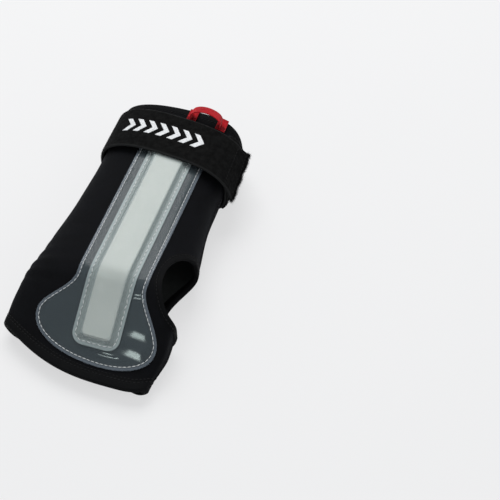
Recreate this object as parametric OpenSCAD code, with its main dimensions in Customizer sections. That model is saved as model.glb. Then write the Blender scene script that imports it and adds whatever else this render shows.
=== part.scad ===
// Palm-side wrist guard for snow sports, lying palm side up on a table.
// +Y runs up the forearm, +X is the thumb side and +Z is up. Millimetres.
// Most places are given by q, the distance along the palm from the wrist crease,
// which is negative toward the hand, and by x, the distance from the splint's axis.

/* [Sleeve] */
// Wrist crease to the hand edge, along the palm
hand_length = 70; // [62:1:80]
// Wrist crease to the cuff edge
forearm_length = 157; // [145:1:175]
// Height of the sleeve over the table at the forearm
sleeve_height = 47.5; // [43:0.5:54]
// Height of the sleeve over the table at the hand edge
mouth_height = 12; // [11:0.5:16]
// Length of the flatter stretch before the hand edge
mouth_length = 13; // [11:0.5:18]
// Slope of that stretch, in degrees
mouth_pitch = 14; // [8:1:18]
// Thickness of the fabric
wall = 2.5; // [2:0.1:3]
// Splint axis to the little-finger side of the forearm
forearm_little = 53.5; // [50:0.5:58]
// Splint axis to the thumb side of the forearm
forearm_thumb = 38.5; // [36:0.5:44]
// Base sheet's bell to the little-finger side of the hand
little_margin = 22; // [19:0.5:28]
// Base sheet's bell to the thumb side of the hand
thumb_margin = 6; // [4:0.5:8]
// How much narrower the hand edge is on the thumb side
mouth_draw = 5.5; // [2:0.5:8]
// How much shorter the hand edge is on the little-finger side
little_trim = 27; // [15:1:32]
// How much the hand edge is rounded off on the thumb side
thumb_trim = 12; // [2:0.5:14]
// How much shorter the back is than the palm at the hand edge
back_trim = 9; // [4:0.5:12]
// How much of that is cut at the side seams, and how far in from them the rest
corner_share = 0.3; // [0:0.05:1]
corner_reach = 20; // [10:1:30]
// How much the cuff edge is rounded off on the thumb side
cuff_trim = 4; // [0:0.5:8]

/* [Thumb hole] */
// Length of the hole along the sleeve
thumb_length = 64; // [54:1:68]
// Wrist crease to the middle of the hole
thumb_mid = 5.5; // [2:0.5:12]
// How far the hole reaches round onto the palm, in degrees of the section
thumb_palm_angle = 68; // [56:1:70]
// How far the hole reaches round onto the back, in degrees of the section
thumb_back_angle = 58; // [44:1:60]

/* [Bindings] */
// Width of the hand edge's binding
binding_width = 8; // [6:0.5:10]
// Width of the cuff's binding
cuff_binding_width = 6; // [5:0.5:7]
// Width of the thumb hole's binding
thumb_binding_width = 4.5; // [3:0.5:5]
// Thickness of the binding tape
binding_thick = 0.4; // [0.3:0.1:0.6]

/* [Clear sheets] */
// Thickness of the clear sheets
sheet_thick = 0.6; // [0.4:0.1:0.8]
// Width of the base sheet along the forearm
neck_width = 49; // [45:1:53]
// Width of the base sheet's bell over the palm
bell_width = 86; // [76:1:88]
// Wrist crease to where the bell starts to widen
bell_start = 4; // [0:1:10]
// Length of the bell's rounded end
bell_round = 23.5; // [18:0.5:27]
// How much the bell is turned toward the little finger, at its sides
bell_skew = 4; // [0:0.5:6]
// How far the bell lies toward the little finger
bell_side = 2; // [0:0.5:3]
// Base sheet's end to the hand edge
base_margin = 9.5; // [8:0.5:14]
// Pocket sheet's end to the base sheet's end
pocket_margin = 10.5; // [8.5:0.5:15]
// Width of the pocket sheet
pocket_width = 33; // [31:0.5:37]
// Corner radius of the pocket sheet
pocket_corner = 8; // [5:0.5:10]
// Sheet edge to its line of thread
stitch_inset = 2.2; // [1.8:0.1:2.6]

/* [Splint] */
// Width of the splint
splint_width = 20; // [17:0.5:21]
// Thickness of the splint
splint_thick = 2.2; // [1.6:0.1:3]
// Corner radius of the splint
splint_corner = 3; // [1:0.5:5]
// Splint's end to the pocket sheet's end
splint_margin = 6; // [5:0.5:9]

/* [Strap] */
// Width of the strap
strap_width = 38; // [32:1:42]
// Thickness of the strap
strap_thick = 2; // [1.5:0.1:2.5]
// Cuff edge to the middle of the strap
strap_from_cuff = 32.5; // [31.5:0.5:40]
// How far the front band runs askew, per millimetre across
strap_slant = 0.1; // [0:0.01:0.12]
// How far the back strap runs askew, per millimetre across
back_slant = 0.03; // [0:0.01:0.1]
// How far the strap stands off the sleeve on the thumb side
strap_slack = 2; // [0.5:0.1:4]
// Thickness of the loop pile
pile_thick = 1.2; // [0.8:0.1:1.6]
// Thickness of the hook patch
hook_thick = 1; // [0.7:0.1:1.4]
// Where round the section the tab is hinged, in degrees
tab_start_angle = 38; // [32:1:44]
// Where round the section the tab ends on its hand side, in degrees
tab_end_angle = 4; // [2:1:12]
// How much sooner the tab ends on its cuff side, in degrees
tab_cut_angle = 14; // [0:1:18]
// How far the tab's tip stands off the pile
tab_lift = 3.5; // [0.5:0.5:5]

/* [Pull loop] */
// Width of the ribbon
ribbon_width = 7; // [5:0.5:8]
// Thickness of the ribbon
ribbon_thick = 1; // [0.8:0.1:1.4]
// Distance between the loop's legs
loop_span = 22; // [20:1:30]
// Height of the loop over its hinge line
loop_rise = 6.5; // [6:0.5:14]
// How far the loop leans away from the strap, in degrees
loop_lean = 8; // [0:1:15]
// Splint axis to the middle of the loop
loop_side = 13; // [4:1:14]

/* [Thread] */
// Diameter of the sewing thread
thread_d = 0.7; // [0.5:0.1:0.9]

/* [Hidden] */

// Clearance between layers of soft material that lie on each other
layer_gap = 0.3;
// Clearance between a piece and what is sewn round it or on it
sewn_gap = 0.1;
// Clearance between an edge of the sleeve and the tape folded over it
binding_gap = 0.3;
// Room that the slope of the sleeve's underside takes over the back strap
slope_room = 0.2;
// Half the length of the rounded bend at the wrist crease and at the mouth
crease_soft = 7;
mouth_soft = 7;
// Where the widths change from the hand's to the forearm's, on each side
little_taper = [-60, 100];
thumb_taper = [10, 90];
mouth_taper = [-45, -hand_length];
// Where the slant of the hand edge has faded out
trim_fade = 40;
// Splint axis to where the hand edge starts to slant
level_side = 15;
little_trim_power = 2.5;
thumb_trim_power = 4;
cuff_trim_power = 5;
// Share of the section's height at which the side seams run
seam_share = 0.42;
// Squareness of the section's quarters: 2 is an ellipse
square_little = 2.6;
square_thumb_hand = 5.5;
square_thumb_forearm = 2.8;
square_back = 3;
// Where the thumb quarter changes its squareness
square_taper = [-10, 40];
// How strongly the underside is pressed flat
flatten = 1.05;
// Power of the bell's rounded end
bell_power = 2.2;
// Degrees of that round at which the sheet's last row stops, just short of its tip
round_stop = 84;
// Degrees of that round that its thread follows, and the power of the thread's line across the end
thread_round = 60;
thread_power = 2.4;
// How far the pocket sheet takes to come down beside the splint
pocket_fall = 2.4;
// Degrees of the section that the thumb hole's binding covers
rim_angle = 7.5;
// Degrees of the section left open between the band and its tab
hinge_angle = 0.4;
// Where round the section the back strap, the pile and the anchor stitching lie
back_angles = [180, 408];
pile_angles = [-30, 46];
anchor_angles = [188, 212];
// How far the pile stays inside the back strap's sides
pile_inset = 0.5;
// Side of the tab to its hook patch
hook_inset = 2;
// Where round the section the back strap starts to stand off, and where its slack is full
slack_angles = [-15, 35];
// Edge of a strap piece to its line of thread
strap_inset = 3;
// How far short of the strap's cuff side the base sheet ends, and the pocket sheet in turn
base_tuck = 4;
pocket_tuck = 5;
// Edge of a binding to its lines of thread, and between those lines
binding_inset = 1.2;
binding_pitch = 2;
// How far a seam's thread stops short of what crosses it
seam_stop = 1;
strap_clear = 3;
// Length of the ribbon tails on the cuff, and cuff edge to the loop's hinge line
tail_length = 11.5;
loop_from_cuff = 7.5;

// Mixing and stepping
function mix(a, b, k) = a + (b - a) * k;
function ease(k) = let (c = min(1, max(0, k))) c * c * (3 - 2 * c);
function share(v, span) = (v - span[0]) / (span[1] - span[0]);
function steps(a, b, n) = [for (i = [0:n]) mix(a, b, i / n)];
function ring(n) = [for (i = [0:n - 1]) 360 * i / n];
function reverse(list) = [for (i = [len(list) - 1:-1:0]) list[i]];
function unit(v) = v / norm(v);

// Half widths of the hand, whose palm carries the bell of the base sheet
hand_little = bell_width / 2 + bell_side + little_margin;
hand_thumb = bell_width / 2 - bell_side + thumb_margin;
mouth_thumb = hand_thumb - mouth_draw;

// Heights that the layers add up to
binding_out = binding_gap + binding_thick;
base_low = layer_gap;
base_high = base_low + sheet_thick;
splint_low = base_high + layer_gap;
splint_high = splint_low + splint_thick;
pocket_high = splint_high + layer_gap + sheet_thick;
hand_seat = binding_out;
strap_seat = strap_thick + layer_gap + slope_room;

// Offsets of the strap's layers from the sleeve: little-finger side, thumb side, palm, back.
// Under the band lie the back strap, its pile and the hook patch.
under_band = strap_thick + sewn_gap + pile_thick + layer_gap + hook_thick + sewn_gap;
palm_room = pocket_high + layer_gap;
pile_low = strap_thick + sewn_gap;
pile_high = pile_low + pile_thick;
function slack_at(t) = mix(layer_gap, strap_slack, ease(share(t > 180 ? t - 360 : t, slack_angles)));
function back_at(t, up) = [
    layer_gap + up, slack_at(t) + up, palm_room - under_band + up, strap_seat - strap_thick + up
];
tab_in = [layer_gap, strap_slack + under_band, palm_room, 0];
tab_out = [for (o = tab_in) o + strap_thick];

// Places along the palm
base_end = hand_length - base_margin;
pocket_end = base_end - pocket_margin;
splint_end = pocket_end - splint_margin;
round_start = base_end - bell_round;
strap_q = forearm_length - strap_from_cuff;
base_top = strap_q + strap_width / 2 - base_tuck;
pocket_top = base_top - pocket_tuck;
splint_top = pocket_top - splint_margin;
trim_span = hand_little + level_side;

// The palm line: level over the forearm, bent at the crease, and flatter at the mouth
palm_length = hand_length - mouth_length;
palm_drop = sleeve_height - mouth_height - mouth_length * sin(mouth_pitch);
palm_pitch = asin(palm_drop / palm_length);
palm_way = [cos(palm_pitch), sin(palm_pitch)];
mouth_way = [cos(mouth_pitch), sin(mouth_pitch)];
crease = [0, sleeve_height];
mouth_start = crease - palm_length * palm_way;
function bend(a, v, b, k) = (1 - k) * (1 - k) * a + 2 * k * (1 - k) * v + k * k * b;
function palm_line(q) =
    q >= crease_soft ? [q, sleeve_height] :
    q > -crease_soft ?
        bend(crease + [crease_soft, 0], crease, crease - crease_soft * palm_way,
            (crease_soft - q) / (2 * crease_soft)) :
    q >= mouth_soft - palm_length ? crease + q * palm_way :
    q > -mouth_soft - palm_length ?
        bend(mouth_start + mouth_soft * palm_way, mouth_start, mouth_start - mouth_soft * mouth_way,
            (mouth_soft - palm_length - q) / (2 * mouth_soft)) :
    mouth_start + (q + palm_length) * mouth_way;
function pitch_at(q) =
    q > -palm_length / 2 ?
        palm_pitch * min(1, max(0, (crease_soft - q) / (2 * crease_soft))) :
        mix(palm_pitch, mouth_pitch, min(1, max(0, (mouth_soft - palm_length - q) / (2 * mouth_soft))));

// Widths, underside and squareness of the sleeve's section at q
function little_at(q) = mix(hand_little, forearm_little, ease(share(q, little_taper)));
function thumb_at(q) =
    mix(hand_thumb, forearm_thumb, ease(share(q, thumb_taper)))
    + (mouth_thumb - hand_thumb) * ease(share(q, mouth_taper));
back_end = hand_length - back_trim;
function seat_at(q) = mix(hand_seat, strap_seat, max(0, (q + back_end) / (strap_q + back_end)));
function seam_at(q) = mix(seat_at(q), palm_line(q)[1], seam_share);
function square_thumb(q) = mix(square_thumb_hand, square_thumb_forearm, ease(share(q, square_taper)));
function square_at(c, s, q) = s < 0 ? square_back : c < 0 ? square_little : square_thumb(q);

// How far the hand edge is drawn back at x, and how that fades out toward the forearm
function edge_fade(q) = ease((trim_fade - q) / (trim_fade + hand_length - binding_width - 2));
function edge_trim(x) =
    x < level_side ?
        little_trim * pow((level_side - x) / trim_span, little_trim_power) :
        thumb_trim * pow((x - level_side) / (hand_thumb - level_side), thumb_trim_power);

// How far the cuff edge is drawn back at x, and how that fades out toward the hand
function cuff_cut(x) = cuff_trim * pow(max(0, x) / forearm_thumb, cuff_trim_power);
function cuff_fade(q) = ease(share(q, [strap_q, forearm_length - cuff_binding_width - 2]));

// A point of the sleeve's section at t degrees, offset outward by d
function skin(t, q, d) =
    let (
        c = cos(t),
        s = sin(t),
        e = 2 / square_at(c, s, q),
        half = (c < 0 ? little_at(q) : thumb_at(q)) + d,
        x = sign(c) * half * pow(abs(c), e),
        cut = mix(corner_share, 1, ease((half - abs(x)) / corner_reach)),
        rake = s < 0 ? back_trim * pow(-s, e) * cut : 0,
        p = q + (edge_trim(x) + rake) * edge_fade(q) - cuff_cut(x) * cuff_fade(q),
        line = palm_line(p),
        seam = seam_at(p),
        up = line[1] + d / cos(pitch_at(p)) - seam,
        down = seam - seat_at(p) + d
    )
    [x, line[0], s < 0 ? seam - down * min(1, flatten * pow(-s, e)) : seam + up * pow(s, e)];

// A point on the palm at x, offset outward by d
function palm(x, q, d) =
    let (
        n = x < 0 ? square_little : square_thumb(q),
        k = abs(x) / ((x < 0 ? little_at(q) : thumb_at(q)) + d),
        line = palm_line(q),
        seam = seam_at(q),
        up = line[1] + d / cos(pitch_at(q)) - seam
    )
    [x, line[0], seam + up * pow(1 - pow(min(1, k), n), 1 / n)];

// A point of the strap at t degrees and v across its width, at the offsets o.
// The strap runs askew from the little-finger side, where both straps line up.
function strap(t, v, o, run = strap_slant) =
    let (
        c = cos(t),
        s = sin(t),
        e = 2 / square_at(c, s, strap_q),
        x = sign(c) * (c < 0 ? little_at(strap_q) + o[0] : thumb_at(strap_q) + o[1]) * pow(abs(c), e),
        seam = seam_at(strap_q),
        up = sleeve_height + o[2] - seam,
        down = seam - strap_seat + o[3]
    )
    [x, strap_q + strap_slant * forearm_little - run * (x + forearm_little) + v,
        s < 0 ? seam - down * min(1, flatten * pow(-s, e)) : seam + up * pow(s, e)];

// The strap's hand side at x, along the palm
function strap_edge(x, run) =
    strap_q + strap_slant * forearm_little - run * (x + forearm_little) - strap_width / 2;

// A point of the tab at the share k of its length and w of its half width, at the offsets o.
// Its tip stands off, and its end is cut at a slant.
function tab_point(k, w, o) =
    let (
        end = tab_end_angle + tab_cut_angle * (w + 1) / 2,
        lift = tab_lift * pow(k, 3)
    )
    strap(mix(tab_start_angle - hinge_angle, end, k), w * strap_width / 2, [for (v = o) v + lift]);
tab_rows = steps(0, 1, 12);
function tab_sides(inset) = let (w = 1 - 2 * inset / strap_width) steps(-w, w, 4);

// Half the base sheet's width, and the turn of its bell
function base_half(q) =
    q > -round_start ?
        mix(neck_width, bell_width, ease((-q - bell_start) / (round_start - bell_start))) / 2 :
        bell_width / 2 * pow(1 - pow(min(1, (-q - round_start) / bell_round), bell_power), 1 / bell_power);
function bell_turn(x, q) = -bell_skew * x / (bell_width / 2) * ease(-q / round_start);
function base_point(x, q, d) = palm(x - bell_side * ease(-q / round_start), q + bell_turn(x, q), d);
// Half the pocket's or the splint's width, with rounded corners at both ends
function strip_half(q, width, corner, low, high) =
    let (near = min(corner, q + low, high - q))
    width / 2 - corner + sqrt(max(0, corner * corner - (corner - near) * (corner - near)));
// How far the pocket sheet is lifted over the splint, as a share
function pocket_lift(x, q) =
    let (
        side = (abs(x) - splint_width / 2 - layer_gap) / pocket_fall,
        low = (-q - splint_end - layer_gap) / pocket_fall,
        high = (q - splint_top - layer_gap) / pocket_fall
    )
    (1 - ease(side)) * (1 - ease(low)) * (1 - ease(high));
function pocket_low(x, q) = splint_low + (splint_thick + layer_gap) * pocket_lift(x, q);

// Rows of the sheets along the palm: rows closer than this to another one are left out
row_clear = 0.5;
wrist_rows = steps(crease_soft + 1, -crease_soft - 1, 8);
function rows_up(top) = [for (q = steps(top, crease_soft + 1, 9)) if (q > crease_soft + 1) q];
function rows_down(end, n) = [for (q = steps(-crease_soft - 1, -end, n)) if (q < -crease_soft - 1) q];
round_rows = [for (a = steps(0, round_stop, 8)) -round_start - bell_round * pow(sin(a), 2 / bell_power)];
base_rows = concat(rows_up(base_top), wrist_rows, rows_down(round_start - 1, 8), round_rows);
function corner_rows(end, corner) = [for (a = steps(0, 90, 4)) -end + corner * (1 - sin(a))];
function strip_rows(top, end, corner) = concat(
    [for (a = steps(90, 0, 4)) top - corner * (1 - sin(a))],
    [for (q = steps(top - corner, crease_soft + 1, 8)) if (q < top - corner - row_clear) q],
    [for (q = wrist_rows) if (q < crease_soft + 1) q],
    rows_down(end - corner - row_clear, 7),
    corner_rows(end, corner));
pocket_columns = [-1, -0.8, -0.63, -0.3, 0, 0.3, 0.63, 0.8, 1];

// Rows of the panels: at the hand edge's binding, and closest where the thumb hole starts and ends
hole_steps = 24;
tape_steps = 3;
hole_rows = [for (a = steps(0, 180, hole_steps)) thumb_mid - thumb_length / 2 * cos(a)];
panel_rows = concat(
    steps(-hand_length, -hand_length + binding_width, tape_steps),
    [for (q = steps(-hand_length + binding_width, hole_rows[0], 8))
        if (q > -hand_length + binding_width && q < hole_rows[0]) q],
    hole_rows,
    [for (q = steps(hole_rows[hole_steps], forearm_length, 12)) if (q > hole_rows[hole_steps]) q]);
// Columns of the panels from seam to seam, as shares: closest at the seams
function columns(n) = concat([0, near_seam], steps(1 / n, 1 - 1 / n, n - 2), [1 - near_seam, 1]);
near_seam = 0.015;
palm_columns = columns(18);
back_columns = columns(16);
// Turns of the section that the edges' bindings share with the panels, palm first
edge_turns = concat(180 * palm_columns, [for (k = back_columns) if (k > 0 && k < 1) 180 + 180 * k]);
function hole_share(q) = sqrt(max(0, 1 - pow((q - thumb_mid) / (thumb_length / 2), 2)));
// The seams leave a hairline between the panels
seam_angle = 0.02;
// A point of the thumb hole's rim at turn f, drawn s into the fabric
function rim(f, s, d) = skin(
    ((sin(f) < 0 ? thumb_back_angle : thumb_palm_angle) + s / thumb_binding_width * rim_angle) * sin(f),
    thumb_mid + (thumb_length / 2 + s) * cos(f), d);

// The folded tape of a binding: distance in from the edge, and offset from the skin
function tape(width) =
    let (
        inside = steps(-binding_gap, width, tape_steps),
        outside = steps(-binding_out, width, tape_steps)
    )
    concat(
        [for (p = inside) [p, -wall - binding_gap]],
        [for (p = reverse(outside)) [p, -wall - binding_out]],
        [for (p = outside) [p, binding_out]],
        [for (p = reverse(inside)) [p, binding_gap]]);

// The ribbon tails lie over the cuff's thread, and the loop is hinged over the tails
tail_low = binding_out + thread_d + 2 * sewn_gap;
tail_high = tail_low + ribbon_thick;
loop_y = forearm_length - loop_from_cuff;
loop_legs = [loop_side - loop_span / 2, loop_side + loop_span / 2];
leg_heights = [for (x = loop_legs) palm(x, loop_y, tail_high + layer_gap)[2] + ribbon_width / 2];
loop_z = (leg_heights[0] + leg_heights[1]) / 2;
loop_tilt = atan2(leg_heights[1] - leg_heights[0], loop_span);

// The part is centred on its own box
left_end = little_at(-hand_length) + binding_out;
right_end = max(tab_point(1, -1, tab_out)[0], hand_thumb + binding_out);
hand_end = palm_line(-hand_length - binding_out)[0];
loop_end = loop_y + (loop_rise + ribbon_thick / 2) * sin(loop_lean) + ribbon_width / 2 * cos(loop_lean);
cuff_end = max(loop_end, forearm_length + binding_out);
middle = [(right_end - left_end) / 2, (hand_end + cuff_end) / 2, 0];
module placed() translate(-middle) children();

// A closed skin between two grids of points, the first one outside
module sheet(outer, inner) {
    rows = len(outer);
    cols = len(outer[0]);
    all = rows * cols;
    function at(r, c) = r * cols + c;
    function quad(a, b, c, d) = [[a, b, c], [a, c, d]];
    faces = [
        for (r = [0:rows - 2], c = [0:cols - 2])
            each quad(at(r, c), at(r, c + 1), at(r + 1, c + 1), at(r + 1, c)),
        for (r = [0:rows - 2], c = [0:cols - 2])
            each quad(all + at(r, c), all + at(r + 1, c), all + at(r + 1, c + 1), all + at(r, c + 1)),
        for (r = [0:rows - 2], c = [0, cols - 1])
            each c == 0 ?
                quad(at(r, c), at(r + 1, c), all + at(r + 1, c), all + at(r, c)) :
                quad(at(r + 1, c), at(r, c), all + at(r, c), all + at(r + 1, c)),
        for (c = [0:cols - 2], r = [0, rows - 1])
            each r == 0 ?
                quad(at(r, c + 1), at(r, c), all + at(r, c), all + at(r, c + 1)) :
                quad(at(r, c), at(r, c + 1), all + at(r, c + 1), all + at(r, c))
    ];
    polyhedron(points = concat([for (row = outer) each row], [for (row = inner) each row]), faces = faces);
}

// A solid swept through rings of points, closed on itself or with flat ends
module sweep(rings, closed) {
    n = len(rings);
    m = len(rings[0]);
    last = closed ? n - 1 : n - 2;
    function at(i, k) = (i % n) * m + k % m;
    faces = [
        for (i = [0:last], k = [0:m - 1])
            each [[at(i, k), at(i + 1, k), at(i + 1, k + 1)], [at(i, k), at(i + 1, k + 1), at(i, k + 1)]],
        if (!closed) for (k = [1:m - 2]) each [
            [at(0, 0), at(0, k), at(0, k + 1)],
            [at(n - 1, 0), at(n - 1, k + 1), at(n - 1, k)]
        ]
    ];
    polyhedron(points = [for (ring = rings) each ring], faces = faces);
}

// A thread laid along points; up is a direction that the line never runs in
module thread(points, up, closed = false) {
    n = len(points);
    sides = 5;
    rings = [
        for (i = [0:n - 1])
            let (
                before = points[closed ? (i + n - 1) % n : max(0, i - 1)],
                after = points[closed ? (i + 1) % n : min(n - 1, i + 1)],
                along = unit(after - before),
                across = unit(cross(along, up)),
                out = cross(across, along)
            )
            [for (k = [0:sides - 1])
                points[i] + thread_d / 2 * (cos(360 * k / sides) * out + sin(360 * k / sides) * across)]
    ];
    sweep(rings, closed);
}

// A stretch of the strap between two turns, with its offsets at each turn
module strap_run(turns, v, low, high, run = strap_slant) {
    rings = [
        for (t = turns) [
            strap(t, -v, low(t), run), strap(t, v, low(t), run),
            strap(t, v, high(t), run), strap(t, -v, high(t), run)
        ]
    ];
    sweep(rings, false);
}

// A closed line of thread on the back strap, set in from its sides
module strap_box(span, o, run) {
    turns = steps(span[0], span[1], 6);
    v = strap_width / 2 - strap_inset;
    lie = function (t) [for (c = o(t)) c + sewn_gap + thread_d / 2];
    line = concat(
        [for (t = turns) strap(t, -v, lie(t), run)],
        [for (i = [6:-1:0]) strap(turns[i], v, lie(turns[i]), run)]);
    out = strap(turns[3], 0, [for (c = o(turns[3])) c + 1], run) - strap(turns[3], 0, o(turns[3]), run);
    thread(line, out, true);
}

// Neoprene panels
module palm_panel() {
    start = function (q) max(seam_angle, thumb_palm_angle * hole_share(q));
    turns = function (q) [for (k = palm_columns) mix(start(q), 180 - seam_angle, k)];
    color("#17181b") placed() sheet(
        [for (q = panel_rows) [for (t = turns(q)) skin(t, q, 0)]],
        [for (q = panel_rows) [for (t = turns(q)) skin(t, q, -wall)]]);
}

module back_panel() {
    stop = function (q) 360 - max(seam_angle, thumb_back_angle * hole_share(q));
    turns = function (q) [for (k = back_columns) mix(180 + seam_angle, stop(q), k)];
    color("#141517") placed() sheet(
        [for (q = panel_rows) [for (t = turns(q)) skin(t, q, 0)]],
        [for (q = panel_rows) [for (t = turns(q)) skin(t, q, -wall)]]);
}

module side_seam_thread() {
    lie = sewn_gap + thread_d / 2;
    hand_stop = -hand_length + binding_width + seam_stop;
    hole_clear = thumb_length / 2 + thumb_binding_width + seam_stop;
    thumb_stop = strap_edge(forearm_thumb + strap_slack, back_slant) - strap_clear;
    little_stop = strap_edge(-forearm_little, strap_slant) - strap_clear;
    color("#26272b") placed() {
        thread([for (q = steps(hand_stop, little_stop, 16)) skin(180, q, lie)], [0, 0, 1]);
        thread([for (q = steps(hand_stop, thumb_mid - hole_clear, 6)) skin(0, q, lie)], [0, 0, 1]);
        thread([for (q = steps(thumb_mid + hole_clear, thumb_stop, 6)) skin(0, q, lie)], [0, 0, 1]);
    }
}

// Bindings: tape folded over an edge and sewn through
module hand_binding() {
    fold = reverse(tape(binding_width));
    color("#101113") placed()
        sweep([for (t = reverse(edge_turns)) [for (p = fold) skin(t, p[0] - hand_length, p[1])]], true);
}

module hand_binding_thread() {
    lie = binding_out + sewn_gap + thread_d / 2;
    line = binding_width - binding_inset;
    color("#26272b") placed() for (in = [line, line - binding_pitch])
        thread([for (i = [2:len(palm_columns) - 3]) skin(edge_turns[i], in - hand_length, lie)], [0, 1, 0]);
}

module cuff_binding() {
    fold = tape(cuff_binding_width);
    color("#101113") placed()
        sweep([for (t = reverse(edge_turns)) [for (p = fold) skin(t, forearm_length - p[0], p[1])]], true);
}

module cuff_binding_thread() {
    lie = binding_out + sewn_gap + thread_d / 2;
    line = forearm_length - cuff_binding_width + binding_inset;
    color("#26272b") placed() thread([for (t = edge_turns) skin(t, line, lie)], [0, 1, 0], true);
}

module thumb_binding() {
    fold = tape(thumb_binding_width);
    color("#101113") placed()
        sweep([for (f = ring(2 * hole_steps)) [for (p = fold) rim(f, p[0], p[1])]], true);
}

module thumb_binding_thread() {
    lie = binding_out + sewn_gap + thread_d / 2;
    line = thumb_binding_width - binding_inset;
    color("#26272b") placed() thread([for (f = ring(2 * hole_steps)) rim(f, line, lie)], [1, 0, 0.4], true);
}

// Clear sheets, the splint between them, and their thread
module base_sheet() {
    function row(q, d) = [for (k = steps(-1, 1, 10)) base_point(k * base_half(q), q, d)];
    color("#8fa3a8") placed() sheet(
        [for (q = base_rows) row(q, base_high)],
        [for (q = base_rows) row(q, base_low)]);
}

module base_thread() {
    lie = base_high + sewn_gap + thread_d / 2;
    inner = round_start + bell_round * pow(sin(thread_round), 2 / bell_power);
    rows = concat(
        [for (q = base_rows) if (q < base_top - stitch_inset && q > -round_start - row_clear) q],
        [for (a = steps(10, thread_round, 5)) -round_start - bell_round * pow(sin(a), 2 / bell_power)]);
    function edge(q, s) = base_point(s * (base_half(q) - stitch_inset), q, lie);
    low = -base_end + stitch_inset;
    half = base_half(-inner) - stitch_inset;
    function bottom(k) = base_point(k * half, mix(low, -inner, pow(abs(k), thread_power)), lie);
    n = len(rows);
    color("#e9ecec") placed() thread(concat(
        [for (q = rows) edge(q, 1)],
        [for (k = steps(0.85, -0.85, 8)) bottom(k)],
        [for (i = [n - 1:-1:0]) edge(rows[i], -1)]), [0, -0.2, 1]);
}

module splint() {
    rows = strip_rows(splint_top, splint_end, splint_corner);
    function row(q, d) =
        let (half = strip_half(q, splint_width, splint_corner, splint_end, splint_top))
        [for (k = steps(-1, 1, 6)) palm(k * half, q, d)];
    color("#ece9dd") placed() sheet(
        [for (q = rows) row(q, splint_high)],
        [for (q = rows) row(q, splint_low)]);
}

module pocket_sheet() {
    fall = layer_gap + pocket_fall;
    all = strip_rows(pocket_top, pocket_end, pocket_corner);
    rows = concat(
        [for (q = all) if (q > splint_top + fall + row_clear) q],
        steps(splint_top + fall, splint_top + layer_gap, 3),
        [for (q = all) if (q < splint_top - row_clear && q > -splint_end + row_clear) q],
        steps(-splint_end - layer_gap, -splint_end - fall, 3),
        [for (q = all) if (q < -splint_end - fall - row_clear) q]);
    function row(q, up) =
        let (half = strip_half(q, pocket_width, pocket_corner, pocket_end, pocket_top))
        [for (k = pocket_columns) let (x = k * half) palm(x, q, pocket_low(x, q) + up)];
    color("#a9b8ba") placed() sheet([for (q = rows) row(q, sheet_thick)], [for (q = rows) row(q, 0)]);
}

module pocket_thread() {
    function lie(x, q) = pocket_low(x, q) + sheet_thick + sewn_gap + thread_d / 2;
    corner = pocket_corner - stitch_inset;
    low = pocket_end - stitch_inset;
    width = pocket_width - 2 * stitch_inset;
    rows = [for (q = strip_rows(pocket_top, low, corner)) if (q < pocket_top - stitch_inset) q];
    function edge(q, s) =
        let (x = s * strip_half(q, width, corner, low, pocket_top + corner))
        palm(x, q, lie(x, q));
    n = len(rows);
    flat = width / 2 - corner;
    color("#e9ecec") placed() thread(concat(
        [for (q = rows) edge(q, 1)],
        [for (k = [0.5, 0, -0.5]) palm(k * flat, -low, lie(k * flat, -low))],
        [for (i = [n - 1:-1:0]) edge(rows[i], -1)]), [0, -0.2, 1]);
}

// Strap: back strap with loop pile, front band hinged to it, and the hooked tab
module back_strap() {
    color("#121214") placed() strap_run(
        steps(back_angles[1], back_angles[0] + seam_angle, 34), strap_width / 2,
        function (t) back_at(t, 0), function (t) back_at(t, strap_thick), back_slant);
}

module anchor_thread() {
    color("#2c2d30") placed()
        strap_box(anchor_angles, function (t) back_at(t, strap_thick), back_slant);
}

module loop_pile() {
    color("#1b1b1d") placed() strap_run(
        steps(pile_angles[1], pile_angles[0], 22), strap_width / 2 - pile_inset,
        function (t) back_at(t, pile_low), function (t) back_at(t, pile_high), back_slant);
}

module pile_thread() {
    turns = [pile_angles[0] + strap_inset, -strap_inset];
    color("#2c2d30") placed()
        strap_box(turns, function (t) back_at(t, pile_high), back_slant);
}

module band() {
    turns = steps(180 - seam_angle, tab_start_angle, 30);
    color("#161618") placed() strap_run(
        turns, strap_width / 2, function (t) tab_in, function (t) tab_out);
}

module tab() {
    sides = tab_sides(0);
    color("#161618") placed() sheet(
        [for (k = tab_rows) [for (w = sides) tab_point(k, w, tab_out)]],
        [for (k = tab_rows) [for (w = sides) tab_point(k, w, tab_in)]]);
}

module hook_patch() {
    rows = [for (i = [1:11]) tab_rows[i]];
    sides = tab_sides(hook_inset);
    high = [for (o = tab_in) o - sewn_gap];
    low = [for (o = high) o - hook_thick];
    color("#0d0d0f") placed() sheet(
        [for (k = rows) [for (w = sides) tab_point(k, w, high)]],
        [for (k = rows) [for (w = sides) tab_point(k, w, low)]]);
}

module tab_thread() {
    rows = [for (i = [2:10]) tab_rows[i]];
    sides = tab_sides(strap_inset);
    lie = [for (o = tab_out) o + sewn_gap + thread_d / 2];
    line = concat(
        [for (k = rows) tab_point(k, sides[0], lie)],
        [for (i = [1:3]) tab_point(rows[8], sides[i], lie)],
        [for (i = [8:-1:0]) tab_point(rows[i], sides[4], lie)],
        [for (i = [3:-1:1]) tab_point(rows[0], sides[i], lie)]);
    out = tab_point(0.5, 0, lie) - tab_point(0.5, 0, tab_out);
    color("#2c2d30") placed() thread(line, out, true);
}

// Ribbon pull loop at the cuff
module ribbon_tails() {
    color("#8e141d") placed() for (x = loop_legs) {
        rows = [forearm_length - tail_length, forearm_length];
        columns = [x - ribbon_width / 2, x, x + ribbon_width / 2];
        sheet(
            [for (q = [rows[1], rows[0]]) [for (c = columns) palm(c, q, tail_high)]],
            [for (q = [rows[1], rows[0]]) [for (c = columns) palm(c, q, tail_low)]]);
    }
}

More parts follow.
